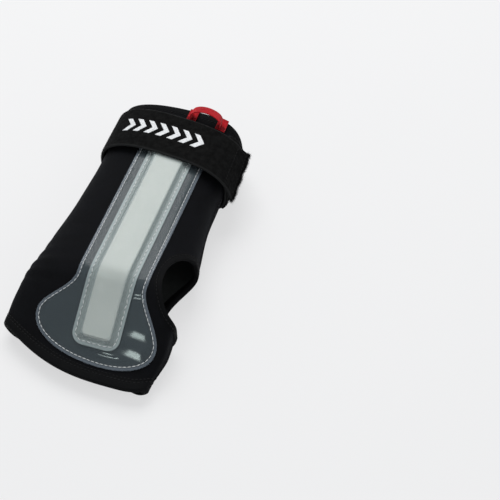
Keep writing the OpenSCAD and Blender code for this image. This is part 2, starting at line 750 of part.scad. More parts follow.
module tail_tacks() {
    color("#5a0d13") placed() for (x = loop_legs)
        thread([for (k = steps(-1, 1, 4))
            palm(x + k * (ribbon_width / 2 - 1), forearm_length - tail_length + binding_inset,
                tail_high + sewn_gap + thread_d / 2)], [0, 0, 1]);
}

module pull_loop() {
    arch = steps(0, 180, 16);
    function at(a, r, v) = [-(loop_span / 2 + r) * cos(a), v, (loop_rise + r) * sin(a)];
    half = ribbon_width / 2;
    out = ribbon_thick / 2;
    color("#a8141f") placed()
        translate([loop_side, loop_y, loop_z]) rotate([0, -loop_tilt, 0]) rotate([-loop_lean, 0, 0]) {
            sweep([
                for (a = arch)
                    [at(a, -out, -half), at(a, -out, half), at(a, out, half), at(a, out, -half)]
            ], false);
            for (side = [-1, 1])
                translate([side * loop_span / 2 - out, 0, 0]) rotate([0, 90, 0])
                    cylinder(r = half, h = ribbon_thick, $fn = 48);
        }
}

palm_panel();
back_panel();
side_seam_thread();
hand_binding();
hand_binding_thread();
cuff_binding();
cuff_binding_thread();
thumb_binding();
thumb_binding_thread();
base_sheet();
base_thread();
splint();
pocket_sheet();
pocket_thread();
back_strap();
anchor_thread();
loop_pile();
pile_thread();
band();
tab();
hook_patch();
tab_thread();
ribbon_tails();
tail_tacks();
pull_loop();
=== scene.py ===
"""Looks of a palm-side wrist guard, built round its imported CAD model.

+Y runs up the forearm, +X is the thumb side and +Z is up, away from the back of the hand. Sizes are in
millimetres and angles in degrees, as in the CAD source, until place() puts a point into the scene in metres.
Most places are given by q, the distance along the palm from the wrist crease, which is negative toward the
hand, and by x, the distance from the splint's axis, or t, the turn round the sleeve's section.
"""
import math

import bmesh
import bpy
import numpy as np
from mathutils import Matrix, Vector


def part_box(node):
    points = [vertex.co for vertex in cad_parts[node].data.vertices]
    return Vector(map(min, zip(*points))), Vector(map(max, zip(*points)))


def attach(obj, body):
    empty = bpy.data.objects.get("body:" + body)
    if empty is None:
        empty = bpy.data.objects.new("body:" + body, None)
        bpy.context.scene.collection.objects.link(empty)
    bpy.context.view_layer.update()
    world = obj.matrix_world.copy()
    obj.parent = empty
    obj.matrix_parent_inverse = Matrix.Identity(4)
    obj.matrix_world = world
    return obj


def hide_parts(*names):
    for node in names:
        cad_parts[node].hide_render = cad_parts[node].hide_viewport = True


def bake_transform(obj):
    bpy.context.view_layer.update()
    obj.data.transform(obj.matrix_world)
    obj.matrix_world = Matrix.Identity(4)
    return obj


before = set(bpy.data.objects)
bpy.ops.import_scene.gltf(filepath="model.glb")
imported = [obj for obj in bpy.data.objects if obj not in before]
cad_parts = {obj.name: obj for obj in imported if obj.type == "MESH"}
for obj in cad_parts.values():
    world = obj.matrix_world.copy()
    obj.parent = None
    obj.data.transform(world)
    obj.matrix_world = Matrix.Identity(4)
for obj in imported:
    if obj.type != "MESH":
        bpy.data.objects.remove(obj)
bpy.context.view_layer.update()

# Sleeve
hand_length = 70
forearm_length = 157
sleeve_height = 47.5
mouth_height = 12
mouth_length = 13
mouth_pitch = 14
wall = 2.5
forearm_little = 53.5
forearm_thumb = 38.5
little_margin = 22
thumb_margin = 6
mouth_draw = 5.5
little_trim = 27
thumb_trim = 12
back_trim = 9
corner_share = 0.3
corner_reach = 20
cuff_trim = 4
# Thumb hole
thumb_length = 64
thumb_mid = 5.5
thumb_palm_angle = 68
thumb_back_angle = 58
# Bindings
binding_width = 8
cuff_binding_width = 6
thumb_binding_width = 4.5
binding_thick = 0.4
# Clear sheets and splint
sheet_thick = 0.6
neck_width = 49
bell_width = 86
bell_start = 4
bell_round = 23.5
bell_skew = 4
bell_side = 2
base_margin = 9.5
pocket_margin = 10.5
pocket_width = 33
pocket_corner = 8
stitch_inset = 2.2
splint_width = 20
splint_thick = 2.2
splint_corner = 3
splint_margin = 6
# Strap
strap_width = 38
strap_thick = 2
strap_from_cuff = 32.5
strap_slant = 0.1
back_slant = 0.03
strap_slack = 2
pile_thick = 1.2
hook_thick = 1
tab_start_angle = 38
tab_end_angle = 4
tab_cut_angle = 14
tab_lift = 3.5
# Pull loop
ribbon_width = 7
ribbon_thick = 1
loop_span = 22
loop_rise = 6.5
loop_lean = 8
loop_side = 13
# Thread
thread_d = 0.7

# Clearances and shape powers of the CAD source
layer_gap = 0.3
sewn_gap = 0.1
binding_gap = 0.3
slope_room = 0.2
crease_soft = 7
mouth_soft = 7
little_taper = (-60, 100)
thumb_taper = (10, 90)
mouth_taper = (-45, -hand_length)
trim_fade = 40
trim_clear = 2
level_side = 15
little_trim_power = 2.5
thumb_trim_power = 4
cuff_trim_power = 5
seam_share = 0.42
square_little = 2.6
square_thumb_hand = 5.5
square_thumb_forearm = 2.8
square_back = 3
square_taper = (-10, 40)
flatten = 1.05
bell_power = 2.2
pocket_fall = 2.4
rim_angle = 7.5
hinge_angle = 0.4
tab_lift_shares = (0.3, 1.15)
back_angles = (180, 408)
pile_angles = (-30, 46)
anchor_angles = (188, 212)
pile_inset = 0.5
hook_inset = 2
slack_angles = (-15, 35)
strap_inset = 3
base_tuck = 4
pocket_tuck = 5
binding_inset = 1.2
binding_pitch = 2
seam_stop = 1
strap_clear = 3
tail_length = 11.5
loop_from_cuff = 7.5

# Half widths of the hand, whose palm carries the bell of the base sheet
hand_little = bell_width / 2 + bell_side + little_margin
hand_thumb = bell_width / 2 - bell_side + thumb_margin
mouth_thumb = hand_thumb - mouth_draw

# Heights that the layers add up to
binding_out = binding_gap + binding_thick
base_low = layer_gap
base_high = base_low + sheet_thick
splint_low = base_high + layer_gap
splint_high = splint_low + splint_thick
pocket_high = splint_high + layer_gap + sheet_thick
strap_seat = strap_thick + layer_gap + slope_room
under_band = strap_thick + sewn_gap + pile_thick + layer_gap + hook_thick + sewn_gap
palm_room = pocket_high + layer_gap
pile_low = strap_thick + sewn_gap
pile_high = pile_low + pile_thick
tail_low = binding_out + thread_d + 2 * sewn_gap
tail_high = tail_low + ribbon_thick

# Places along the palm
base_end = hand_length - base_margin
pocket_end = base_end - pocket_margin
splint_end = pocket_end - splint_margin
round_start = base_end - bell_round
strap_q = forearm_length - strap_from_cuff
strap_half = strap_width / 2
base_top = strap_q + strap_half - base_tuck
pocket_top = base_top - pocket_tuck
splint_top = pocket_top - splint_margin
back_end = hand_length - back_trim
loop_y = forearm_length - loop_from_cuff

# Where the CAD frame's middle lies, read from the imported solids
splint_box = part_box("splint")
palm_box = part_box("palm_panel")
middle = np.array([-500 * (splint_box[0].x + splint_box[1].x), forearm_length - 1000 * palm_box[1].y, 0])


# Shape of the sleeve, as in the CAD source

def mix(a, b, k):
    return a + (b - a) * k


def ease(k):
    c = np.clip(k, 0, 1)
    return c * c * (3 - 2 * c)


def share(v, span):
    return (v - span[0]) / (span[1] - span[0])


def cos(angle):
    return np.cos(np.radians(angle))


def sin(angle):
    return np.sin(np.radians(angle))


def waves(k):
    """A wave between -1 and 1 for each whole step of k."""
    return np.sin(2 * np.pi * k)


def hump(k):
    """1 where k is 0, and falling softly to both sides."""
    return np.exp(-k ** 2)


def unit(v):
    return v / np.maximum(np.linalg.norm(v, axis=-1, keepdims=True), 1e-9)


def grids(*values):
    return np.broadcast_arrays(*[np.asarray(v, float) for v in values])


def point(x, y, z):
    return np.stack(grids(x, y, z), -1)


palm_length = hand_length - mouth_length
palm_drop = sleeve_height - mouth_height - mouth_length * sin(mouth_pitch)
palm_pitch = np.degrees(np.arcsin(palm_drop / palm_length))
palm_way = np.array([cos(palm_pitch), sin(palm_pitch)])
mouth_way = np.array([cos(mouth_pitch), sin(mouth_pitch)])
crease = np.array([0, sleeve_height])
mouth_start = crease - palm_length * palm_way


def bend(a, v, b, k):
    k = np.clip(k, 0, 1)[..., None]
    return (1 - k) ** 2 * a + 2 * k * (1 - k) * v + k * k * b


def palm_line(q):
    """The palm line's y and z at q: level over the forearm, bent at the crease, flatter at the mouth."""
    q = np.asarray(q, float)
    level = np.stack([q, np.full_like(q, sleeve_height)], -1)
    at_crease = bend(crease + [crease_soft, 0], crease, crease - crease_soft * palm_way,
                     (crease_soft - q) / (2 * crease_soft))
    slope = crease + q[..., None] * palm_way
    at_mouth = bend(mouth_start + mouth_soft * palm_way, mouth_start, mouth_start - mouth_soft * mouth_way,
                    (mouth_soft - palm_length - q) / (2 * mouth_soft))
    mouth = mouth_start + (q + palm_length)[..., None] * mouth_way
    k = q[..., None]
    line = np.where(k >= crease_soft, level, np.where(
        k > -crease_soft, at_crease, np.where(
            k >= mouth_soft - palm_length, slope, np.where(
                k > -mouth_soft - palm_length, at_mouth, mouth))))
    return line[..., 0], line[..., 1]


def pitch_at(q):
    first = palm_pitch * np.clip((crease_soft - q) / (2 * crease_soft), 0, 1)
    second = mix(palm_pitch, mouth_pitch, np.clip((mouth_soft - palm_length - q) / (2 * mouth_soft), 0, 1))
    return np.where(q > -palm_length / 2, first, second)


def little_at(q):
    return mix(hand_little, forearm_little, ease(share(q, little_taper)))


def thumb_at(q):
    wide = mix(hand_thumb, forearm_thumb, ease(share(q, thumb_taper)))
    return wide + (mouth_thumb - hand_thumb) * ease(share(q, mouth_taper))


def seat_at(q):
    return mix(binding_out, strap_seat, np.maximum(0, (q + back_end) / (strap_q + back_end)))


def seam_at(q):
    return mix(seat_at(q), palm_line(q)[1], seam_share)


def square_thumb(q):
    return mix(square_thumb_hand, square_thumb_forearm, ease(share(q, square_taper)))


def edge_fade(q):
    return ease((trim_fade - q) / (trim_fade + hand_length - binding_width - trim_clear))


def edge_trim(x):
    little = np.maximum(0, level_side - x) / (hand_little + level_side)
    thumb = np.maximum(0, x - level_side) / (hand_thumb - level_side)
    return np.where(x < level_side, little_trim * little ** little_trim_power,
                    thumb_trim * thumb ** thumb_trim_power)


def cuff_cut(x, q):
    fade = ease(share(q, (strap_q, forearm_length - cuff_binding_width - trim_clear)))
    return cuff_trim * (np.maximum(0, x) / forearm_thumb) ** cuff_trim_power * fade


def section(t, q, little, thumb):
    """A section's x at t degrees between its half widths, the half width there, the turn's sine, and the share
    of the way that the section has gone from its seam to its top or bottom."""
    c, s = cos(t), sin(t)
    s = np.where(np.abs(s) < 1e-9, 0, s)
    e = 2 / np.where(s < 0, square_back, np.where(c < 0, square_little, square_thumb(q)))
    half = np.where(c < 0, little, thumb)
    return np.sign(c) * half * np.abs(c) ** e, half, s, np.abs(s) ** e


def height_at(s, gone, seam, up, down):
    return np.where(s < 0, seam - down * np.minimum(1, flatten * gone), seam + up * gone)


def skin(t, q, d):
    """Points of the sleeve's section at t degrees, offset outward by d."""
    t, q, d = grids(t, q, d)
    x, half, s, gone = section(t, q, little_at(q) + d, thumb_at(q) + d)
    back_cut = back_trim * gone * mix(corner_share, 1, ease((half - np.abs(x)) / corner_reach))
    p = q + (edge_trim(x) + np.where(s < 0, back_cut, 0)) * edge_fade(q) - cuff_cut(x, q)
    y, z = palm_line(p)
    seam = seam_at(p)
    return point(x, y, height_at(s, gone, seam, z + d / cos(pitch_at(p)) - seam, seam - seat_at(p) + d))


def palm(x, q, d):
    """Points on the palm at x, offset outward by d."""
    x, q, d = grids(x, q, d)
    n = np.where(x < 0, square_little, square_thumb(q))
    k = np.abs(x) / (np.where(x < 0, little_at(q), thumb_at(q)) + d)
    y, z = palm_line(q)
    seam = seam_at(q)
    up = z + d / cos(pitch_at(q)) - seam
    return point(x, y, seam + up * (1 - np.minimum(1, k) ** n) ** (1 / n))


def hole_share(q):
    return np.sqrt(np.maximum(0, 1 - ((q - thumb_mid) / (thumb_length / 2)) ** 2))


def rim(f, s, d):
    """Points of the thumb hole's rim at turn f, drawn s into the fabric."""
    reach = np.where(sin(f) < 0, thumb_back_angle, thumb_palm_angle) + s / thumb_binding_width * rim_angle
    return skin(reach * sin(f), thumb_mid + (thumb_length / 2 + s) * cos(f), d)


# Shape of the strap

def strap_line(x, run):
    """Where the strap's middle lies along the forearm at x, askew by run."""
    return strap_q + strap_slant * forearm_little - run * (x + forearm_little)


def strap(t, v, o, run):
    """Points of the strap at t degrees and v across its width, askew by run, at the offsets o: on the
    little-finger side, the thumb side, the palm and the back."""
    t, v = grids(t, v)
    q = np.full_like(t, strap_q)
    x, _, s, gone = section(t, q, little_at(q) + o[0], thumb_at(q) + o[1])
    seam = seam_at(q)
    z = height_at(s, gone, seam, sleeve_height + o[2] - seam, seam - strap_seat + o[3])
    return point(x, strap_line(x, run) + v, z)


def front_strap(t, v, up):
    return strap(t, v, (layer_gap + up, strap_slack + under_band + up, palm_room + up, up), strap_slant)


def back_strap(t, v, up):
    t = np.asarray(t, float)
    slack = mix(layer_gap, strap_slack, ease(share(np.where(t > 180, t - 360, t), slack_angles)))
    offsets = (layer_gap + up, slack + up, palm_room - under_band + up, strap_seat - strap_thick + up)
    return strap(t, v, offsets, back_slant)


def tab_point(k, w, up):
    """Points of the tab at k of its length and w of its half width, lifted most at its corner by the cuff."""
    side = (w + 1) / 2
    turn = mix(tab_start_angle - hinge_angle, tab_end_angle + tab_cut_angle * side, k)
    lift = tab_lift * mix(*tab_lift_shares, side) * np.maximum(k, 0) ** 3
    return front_strap(turn, w * strap_half, up + lift)


# Shape of the clear sheets

def base_half(q):
    neck = mix(neck_width, bell_width, ease((-q - bell_start) / (round_start - bell_start))) / 2
    k = np.clip((-q - round_start) / bell_round, 0, 1)
    return np.where(q > -round_start, neck, bell_width / 2 * (1 - k ** bell_power) ** (1 / bell_power))


def base_point(x, q, d):
    over = ease(-q / round_start)
    return palm(x - bell_side * over, q - bell_skew * x / (bell_width / 2) * over, d)


def strip_half(q, width, corner, low, high):
    near = np.minimum(np.minimum(corner, q + low), high - q)
    return width / 2 - corner + np.sqrt(np.maximum(0, corner ** 2 - (corner - near) ** 2))


def pocket_low(x, q):
    """How high the pocket sheet lies: over the splint, and falling beside it and past its ends."""
    beyond = (np.abs(x) - splint_width / 2, -q - splint_end, q - splint_top)
    side, low, high = (1 - ease((past - layer_gap) / pocket_fall) for past in beyond)
    return splint_low + (splint_thick + layer_gap) * side * low * high


# Meshes

def place(points):
    return (points - middle) / 1000


def new_object(name, mesh, material):
    piece = bpy.data.objects.new(name, mesh)
    bpy.context.scene.collection.objects.link(piece)
    if material:
        mesh.materials.clear()
        mesh.materials.append(material)
    return piece


def new_mesh(name, points, edges=(), faces=(), out=None):
    """A mesh of points in metres, with their outward directions if given."""
    mesh = bpy.data.meshes.new(name)
    mesh.from_pydata(points.tolist(), edges, faces)
    if out is not None:
        attribute = mesh.attributes.new("out", "FLOAT_VECTOR", "POINT")
        attribute.data.foreach_set("vector", out.astype(np.float32).reshape(-1))
    return mesh


def finish_mesh(mesh, sharp_angle=40):
    """Points the faces outwards and shades the mesh smooth between its sharp edges."""
    shape = bmesh.new()
    shape.from_mesh(mesh)
    bmesh.ops.recalc_face_normals(shape, faces=shape.faces)
    shape.to_mesh(mesh)
    shape.free()
    mesh.shade_smooth()
    mesh.set_sharp_from_angle(angle=math.radians(sharp_angle))


def ring_faces(n, m, closed=False):
    """Faces of a skin through n rings of m points. The upper half of a ring runs from its left to its right
    end, and its lower half runs back, so strips between the halves close the ends of an open skin."""
    i = np.arange(n if closed else n - 1)[:, None]
    k = np.arange(m)
    after = (i + 1) % n
    side = (k + 1) % m
    corners = [i * m + k, i * m + side, after * m + side, after * m + k]
    faces = np.stack(np.broadcast_arrays(*corners), -1).reshape(-1, 4)
    if closed:
        return faces
    j = np.arange(m // 2 - 1)
    cap = np.stack([j, j + 1, m - 2 - j, m - 1 - j], -1)
    return np.concatenate([faces, cap, cap[:, ::-1] + (n - 1) * m])


def swept(name, rings, material, uv, wrap=0, marks=None):
    """A skin through rings of points, closed to a loop if it has a wrap: what the cloth's second coordinate
    grows by in one round. uv is the cloth's own place, and marks are named values of the points."""
    n, m, _ = rings.shape
    faces = ring_faces(n, m, wrap > 0)
    mesh = new_mesh(name, place(rings.reshape(-1, 3)), faces=faces.tolist())
    flat = uv.reshape(-1, 2)[faces]
    if wrap:
        last = (n - 1) * m <= np.arange(len(faces))
        flat[..., 1] += wrap * (last[:, None] & (faces < m))
    layer = mesh.uv_layers.new(name="cloth")
    layer.data.foreach_set("uv", flat.reshape(-1).astype(np.float32))
    for mark, values in (marks or {}).items():
        attribute = mesh.attributes.new(mark, "FLOAT", "POINT")
        attribute.data.foreach_set("value", np.asarray(values, np.float32).reshape(-1))
    mesh.validate()
    finish_mesh(mesh)
    return new_object(name, mesh, material)


def strip_grid(rows, half, rim_r, columns, rim_steps):
    """A flat strip with round rims, as one section for each row: places across and along, and how far each
    point lies out and up on the rim's half round. A section runs from its left end over the top to the right
    end and back below."""
    left = 180 - 90 / rim_steps * np.arange(rim_steps)
    right = 90 - 90 / rim_steps * np.arange(1, rim_steps)
    across = np.concatenate([-np.ones(rim_steps), np.linspace(-1, 1, columns), np.ones(rim_steps - 1)])
    out = np.concatenate([cos(left), np.zeros(columns), cos(right)])
    up = np.concatenate([sin(left), np.ones(columns), sin(right)])
    across, out, up = (np.concatenate([top, -top]) for top in (across, out, up))
    flat_half = np.maximum(np.broadcast_to(half, rows.shape) - rim_r, 0.05)
    return across * flat_half[:, None] + out * rim_r, np.repeat(rows[:, None], len(across), 1), out, up


def arc_length(points):
    steps = np.linalg.norm(np.diff(points, axis=0), axis=1)
    return np.concatenate([[0], np.cumsum(steps)])


def dress(piece, body, node=None):
    """Lets a piece ride on a body, in place of the node that it stands for."""
    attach(piece, body)
    if node:
        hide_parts(node)


# Materials

class Tree:
    """A node tree, whose nodes get their settings and inputs as they are added."""

    def __init__(self, tree):
        self.tree = tree

    def add(self, kind, inputs=None, **settings):
        node = self.tree.nodes.new(kind)
        for name, value in settings.items():
            setattr(node, name, value)
        return self.fill(node, inputs or {})

    def fill(self, node, inputs):
        for key, value in inputs.items():
            if isinstance(value, bpy.types.NodeSocket):
                self.tree.links.new(value, node.inputs[key])
            else:
                node.inputs[key].default_value = value
        return node

    def first(self, kind, inputs=None, **settings):
        """The first output of a new node."""
        return self.add(kind, inputs, **settings).outputs[0]

    def math(self, operation, a, b=0.0, c=0.0):
        return self.first("ShaderNodeMath", {0: a, 1: b, 2: c}, operation=operation)

    def plus(self, base, extra, k):
        """The sum of a value and k times another."""
        return self.math("MULTIPLY_ADD", extra, k, base)


class Shader(Tree):
    """A material's node tree, with its depths in metres and its pitches in millimetres."""

    def __init__(self, name):
        self.material = bpy.data.materials.new(name)
        self.material.use_nodes = True
        super().__init__(self.material.node_tree)
        self.surface = self.tree.nodes["Principled BSDF"]

    def set(self, **inputs):
        """Sets the surface's inputs and gives the material."""
        self.fill(self.surface, {name.replace("_", " "): value for name, value in inputs.items()})
        return self.material

    def cloth_place(self):
        """The cloth's own place, across and along, in millimetres."""
        split = self.add("ShaderNodeSeparateXYZ", {0: self.first("ShaderNodeUVMap", uv_map="cloth")})
        return split.outputs[0], split.outputs[1]

    def mark(self, name):
        return self.add("ShaderNodeAttribute", attribute_name=name).outputs["Fac"]

    def wave(self, place_along, pitch):
        """A wave between -1 and 1 with that pitch."""
        return self.math("SINE", self.math("MULTIPLY", place_along, 2 * math.pi / pitch))

    def noise(self, scale, detail=3.0, roughness=0.5, stretch=(1, 1, 1)):
        """Noise on Object coordinates, with scale in features per metre."""
        coordinates = self.add("ShaderNodeTexCoord").outputs["Object"]
        turned = self.first("ShaderNodeMapping", {"Vector": coordinates, "Scale": stretch})
        return self.add("ShaderNodeTexNoise", {
            "Vector": turned, "Scale": scale, "Detail": detail, "Roughness": roughness}).outputs["Fac"]

    def span(self, value, to=(0, 1), at=(0.3, 0.7)):
        """A value's span at two ends, which most noise keeps to, spread over another."""
        return self.first("ShaderNodeMapRange", {
            "Value": value, "From Min": at[0], "From Max": at[1], "To Min": to[0], "To Max": to[1]})

    def blend(self, share_of, *shades):
        """A blend of two colours, each a tone or another blend."""
        dark, light = (tone if isinstance(tone, bpy.types.NodeSocket) else (*tone, 1) for tone in shades)
        return self.add("ShaderNodeMix", {0: share_of, 6: dark, 7: light}, data_type="RGBA").outputs[2]

    def bump(self, height, depth, strength, under=None):
        inputs = {"Height": height, "Strength": strength, "Distance": depth}
        return self.first("ShaderNodeBump", {**inputs, "Normal": under} if under else inputs)


def knit_material(name, dark, light, lining, wale, sheen):
    """Jersey knit: columns of small loops, with a soft nap, and its inside face painted paler, as painted fill
    light where the inside lies in shade.
    """
    shader = Shader(name)
    across, along = shader.cloth_place()
    ribs = shader.math("ABSOLUTE", shader.wave(across, 2 * wale))
    slope = shader.plus(along, ribs, 0.35 * wale)
    height = shader.plus(ribs, shader.wave(slope, 0.8 * wale), 0.35)
    soft = shader.noise(90, 4, 0.6)
    shade = shader.plus(shader.span(soft), height, 0.25)
    face = shader.blend(shade, dark, light)
    # The inside face's colour is painted fill light: paler than the face so that the shaded inside reads lit
    inside = shader.blend(shade, lining, [1.4 * tone for tone in lining])
    return shader.set(
        Base_Color=shader.blend(shader.mark("lining"), face, inside),
        Roughness=shader.span(soft, (0.78, 0.92)),
        Normal=shader.bump(height, 0.0001, 0.5, shader.bump(soft, 0.0006, 0.25)),
        Specular_IOR_Level=0.06, Sheen_Weight=sheen, Sheen_Roughness=0.45, Sheen_Tint=(0.75, 0.8, 0.9, 1))


def tape_material(name, dark, light):
    """Woven edge tape: fine ribs across, soft shine."""
    shader = Shader(name)
    across, along = shader.cloth_place()
    weave = shader.math("MULTIPLY", shader.wave(along, 0.7), shader.wave(across, 0.55))
    soft = shader.noise(140)
    return shader.set(
        Base_Color=shader.blend(shader.plus(shader.span(soft), weave, 0.2), dark, light),
        Roughness=shader.span(soft, (0.68, 0.85)),
        Normal=shader.bump(weave, 0.00008, 0.5),
        Specular_IOR_Level=0.08, Sheen_Weight=0.01, Sheen_Roughness=0.4)


def thread_material(name, dark, light, roughness):
    """Twisted sewing thread: fine slanted plies."""
    shader = Shader(name)
    plies = shader.noise(2600, 2, stretch=(1, 1, 2.5))
    soil = shader.span(shader.noise(120, 2), (0.6, 1.3), (0.2, 0.8))
    return shader.set(
        Base_Color=shader.blend(shader.math("MULTIPLY", plies, soil), dark, light),
        Roughness=shader.span(plies, (roughness - 0.08, roughness + 0.08)),
        Normal=shader.bump(plies, 0.00012, 0.6),
        Specular_IOR_Level=0.2, Sheen_Weight=0.02)


def clear_material(name, body, rim_painted_light, rim_width, clear, rim_clear, haze, polish, shine):
    """Soft clear film: smooth and glossy, with a painted edge highlight along its cut rim, and with faint
    handling marks.
    """
    shader = Shader(name)
    at_rim = shader.span(shader.mark("edge"), (1, 0), (rim_width * 0.75, rim_width * 1.25))
    marks = shader.noise(24, 2)
    cover = shader.plus(clear, at_rim, rim_clear - clear)
    return shader.set(
        # Painted edge highlight: the rim's colour is paler, standing in for light scattered at the film's edge
        Base_Color=shader.blend(at_rim, body, rim_painted_light),
        Alpha=shader.plus(cover, shader.math("SUBTRACT", marks, 0.5), haze),
        Roughness=shader.span(marks, (polish, polish + 0.06), (0.3, 0.75)),
        Normal=shader.bump(marks, 0.0003, 0.04),
        IOR=1.5, Specular_IOR_Level=shine)


def splint_material(name, dark, light):
    """Moulded plastic with a satin skin, faint flow lines and fine scuffs."""
    shader = Shader(name)
    flow = shader.noise(30, 3, 0.5, (3, 0.4, 1))
    scuffs = shader.noise(420, 2, 0.6, (2.5, 0.5, 1))
    return shader.set(
        Base_Color=shader.blend(shader.span(flow, at=(0.25, 0.75)), dark, light),
        Roughness=shader.span(scuffs, (0.44, 0.48), (0.35, 0.7)),
        Normal=shader.bump(scuffs, 0.00001, 0.05),
        Specular_IOR_Level=0.3, Subsurface_Weight=0.08, Subsurface_Radius=(0.0012, 0.001, 0.0007))


def strap_material(name, dark, light, cut):
    """Brushed strap: a soft napped face, and paler fibres at its cut edges."""
    shader = Shader(name)
    nap = shader.noise(700, 3, 0.65)
    tufts = shader.noise(260, 2, 0.6)
    shade = shader.plus(shader.span(tufts, (-0.25, 0.75), (0.35, 0.65)), nap, 0.5)
    at_edge = shader.span(shader.mark("edge"), (1, 0), (0.3, 1.7))
    return shader.set(
        Base_Color=shader.blend(at_edge, shader.blend(shade, dark, light), cut),
        Roughness=shader.span(nap, (0.8, 0.95)),
        Normal=shader.bump(nap, 0.0004, 0.6, shader.bump(tufts, 0.0014, 0.5)),
        Specular_IOR_Level=0.08, Sheen_Weight=0.02, Sheen_Roughness=0.5)


def fibre_material(name, dark, light, sheen=0.1):
    """Loose fibres, some paler than others."""
    shader = Shader(name)
    strands = shader.noise(900, 2)
    return shader.set(
        Base_Color=shader.blend(shader.span(strands), dark, light),
        Roughness=shader.span(strands, (0.6, 0.85)),
        Specular_IOR_Level=0.1, Sheen_Weight=sheen)


def ribbon_material(name, dark, light):
    """Grosgrain ribbon: cross ribs and a soft satin shine."""
    shader = Shader(name)
    across, along = shader.cloth_place()
    ribs = shader.wave(along, rib_pitch)
    worn = shader.noise(150)
    return shader.set(
        Base_Color=shader.blend(shader.plus(shader.span(worn), ribs, 0.25), dark, light),
        Roughness=shader.span(worn, (0.42, 0.6)),
        Normal=shader.bump(shader.wave(across, 0.25), 0.00003, 0.4, shader.bump(ribs, 0.00008, 0.6)),
        Specular_IOR_Level=0.15, Sheen_Weight=0.03)


def print_material(name, dark, light):
    """Print on the strap: slightly broken by the nap below it."""
    shader = Shader(name)
    grain = shader.noise(900, 3, 0.6)
    return shader.set(
        Base_Color=shader.blend(shader.span(grain, at=(0.3, 0.6)), dark, light),
        Roughness=shader.span(grain, (0.5, 0.7)),
        Normal=shader.bump(grain, 0.0001, 0.4),
        Specular_IOR_Level=0.3)


def floor_material(name, dark, light, glow, glow_share):
    """A plain table top, which glows a little for the camera alone."""
    shader = Shader(name)
    shader.set(Base_Color=shader.blend(shader.noise(8), dark, light), Roughness=0.7, Specular_IOR_Level=0.1)
    own = shader.first("ShaderNodeEmission", {"Color": (*glow, 1), "Strength": 1.0})
    seen = shader.math("MULTIPLY", shader.add("ShaderNodeLightPath").outputs["Is Camera Ray"], glow_share)
    both = shader.first("ShaderNodeMixShader", {0: seen, 1: shader.surface.outputs[0], 2: own})
    shader.fill(shader.tree.nodes["Material Output"], {"Surface": both})
    return shader.material


rib_pitch = 0.55
# The neoprene's inside colour is painted paler than its face, as painted fill light in the shaded inside of the
# sleeve
neoprene = knit_material("neoprene_knit", (0.0022, 0.0023, 0.0028), (0.0048, 0.005, 0.0062),
                         lining=(0.03, 0.032, 0.031), wale=0.9, sheen=0.02)
hem_tape = tape_material("hem_tape", (0.0018, 0.0019, 0.0022), (0.0038, 0.0039, 0.0046))
dark_thread = thread_material("dark_thread", (0.0025, 0.0025, 0.003), (0.0075, 0.0075, 0.0085), 0.6)
strap_thread = thread_material("strap_thread", (0.0015, 0.0015, 0.0016), (0.004, 0.004, 0.0042), 0.75)
white_thread = thread_material("white_thread", (0.50, 0.52, 0.52), (0.92, 0.93, 0.92), 0.5)
red_thread = thread_material("red_thread", (0.12, 0.004, 0.007), (0.30, 0.010, 0.018), 0.55)
# Each clear film's second colour is a painted edge highlight along its rim
base_film = clear_material("base_film", (0.092, 0.116, 0.127), (0.16, 0.19, 0.22), rim_width=2.0, clear=0.42,
                           rim_clear=0.55, haze=0.08, polish=0.13, shine=0.28)
pocket_film = clear_material("pocket_film", (0.49, 0.57, 0.555), (0.47, 0.55, 0.55), rim_width=2.0, clear=0.35,
                             rim_clear=0.45, haze=0.06, polish=0.26, shine=0.40)
splint_ivory = splint_material("ivory_splint", (0.81, 0.775, 0.71), (0.87, 0.84, 0.785))
strap_cloth = strap_material("strap_cloth", (0.0008, 0.0008, 0.0008), (0.0055, 0.0056, 0.0055),
                             cut=(0.018, 0.0185, 0.0185))
nap_fibre = fibre_material("nap_fibre", (0.0018, 0.0018, 0.0019), (0.008, 0.008, 0.0083), 0.02)
pile_cloth = strap_material("pile_cloth", (0.002, 0.002, 0.0021), (0.006, 0.006, 0.0061),
                            cut=(0.01, 0.01, 0.01))
pile_fibre = fibre_material("pile_fibre", (0.0025, 0.0025, 0.0026), (0.012, 0.012, 0.0123), 0.05)
hook_nylon = fibre_material("hook_nylon", (0.006, 0.006, 0.0065), (0.012, 0.012, 0.013))
ribbon_red = ribbon_material("red_ribbon", (0.34, 0.005, 0.010), (0.50, 0.009, 0.016))
strap_print = print_material("white_print", (0.55, 0.56, 0.57), (0.80, 0.81, 0.82))


# Geometry Nodes

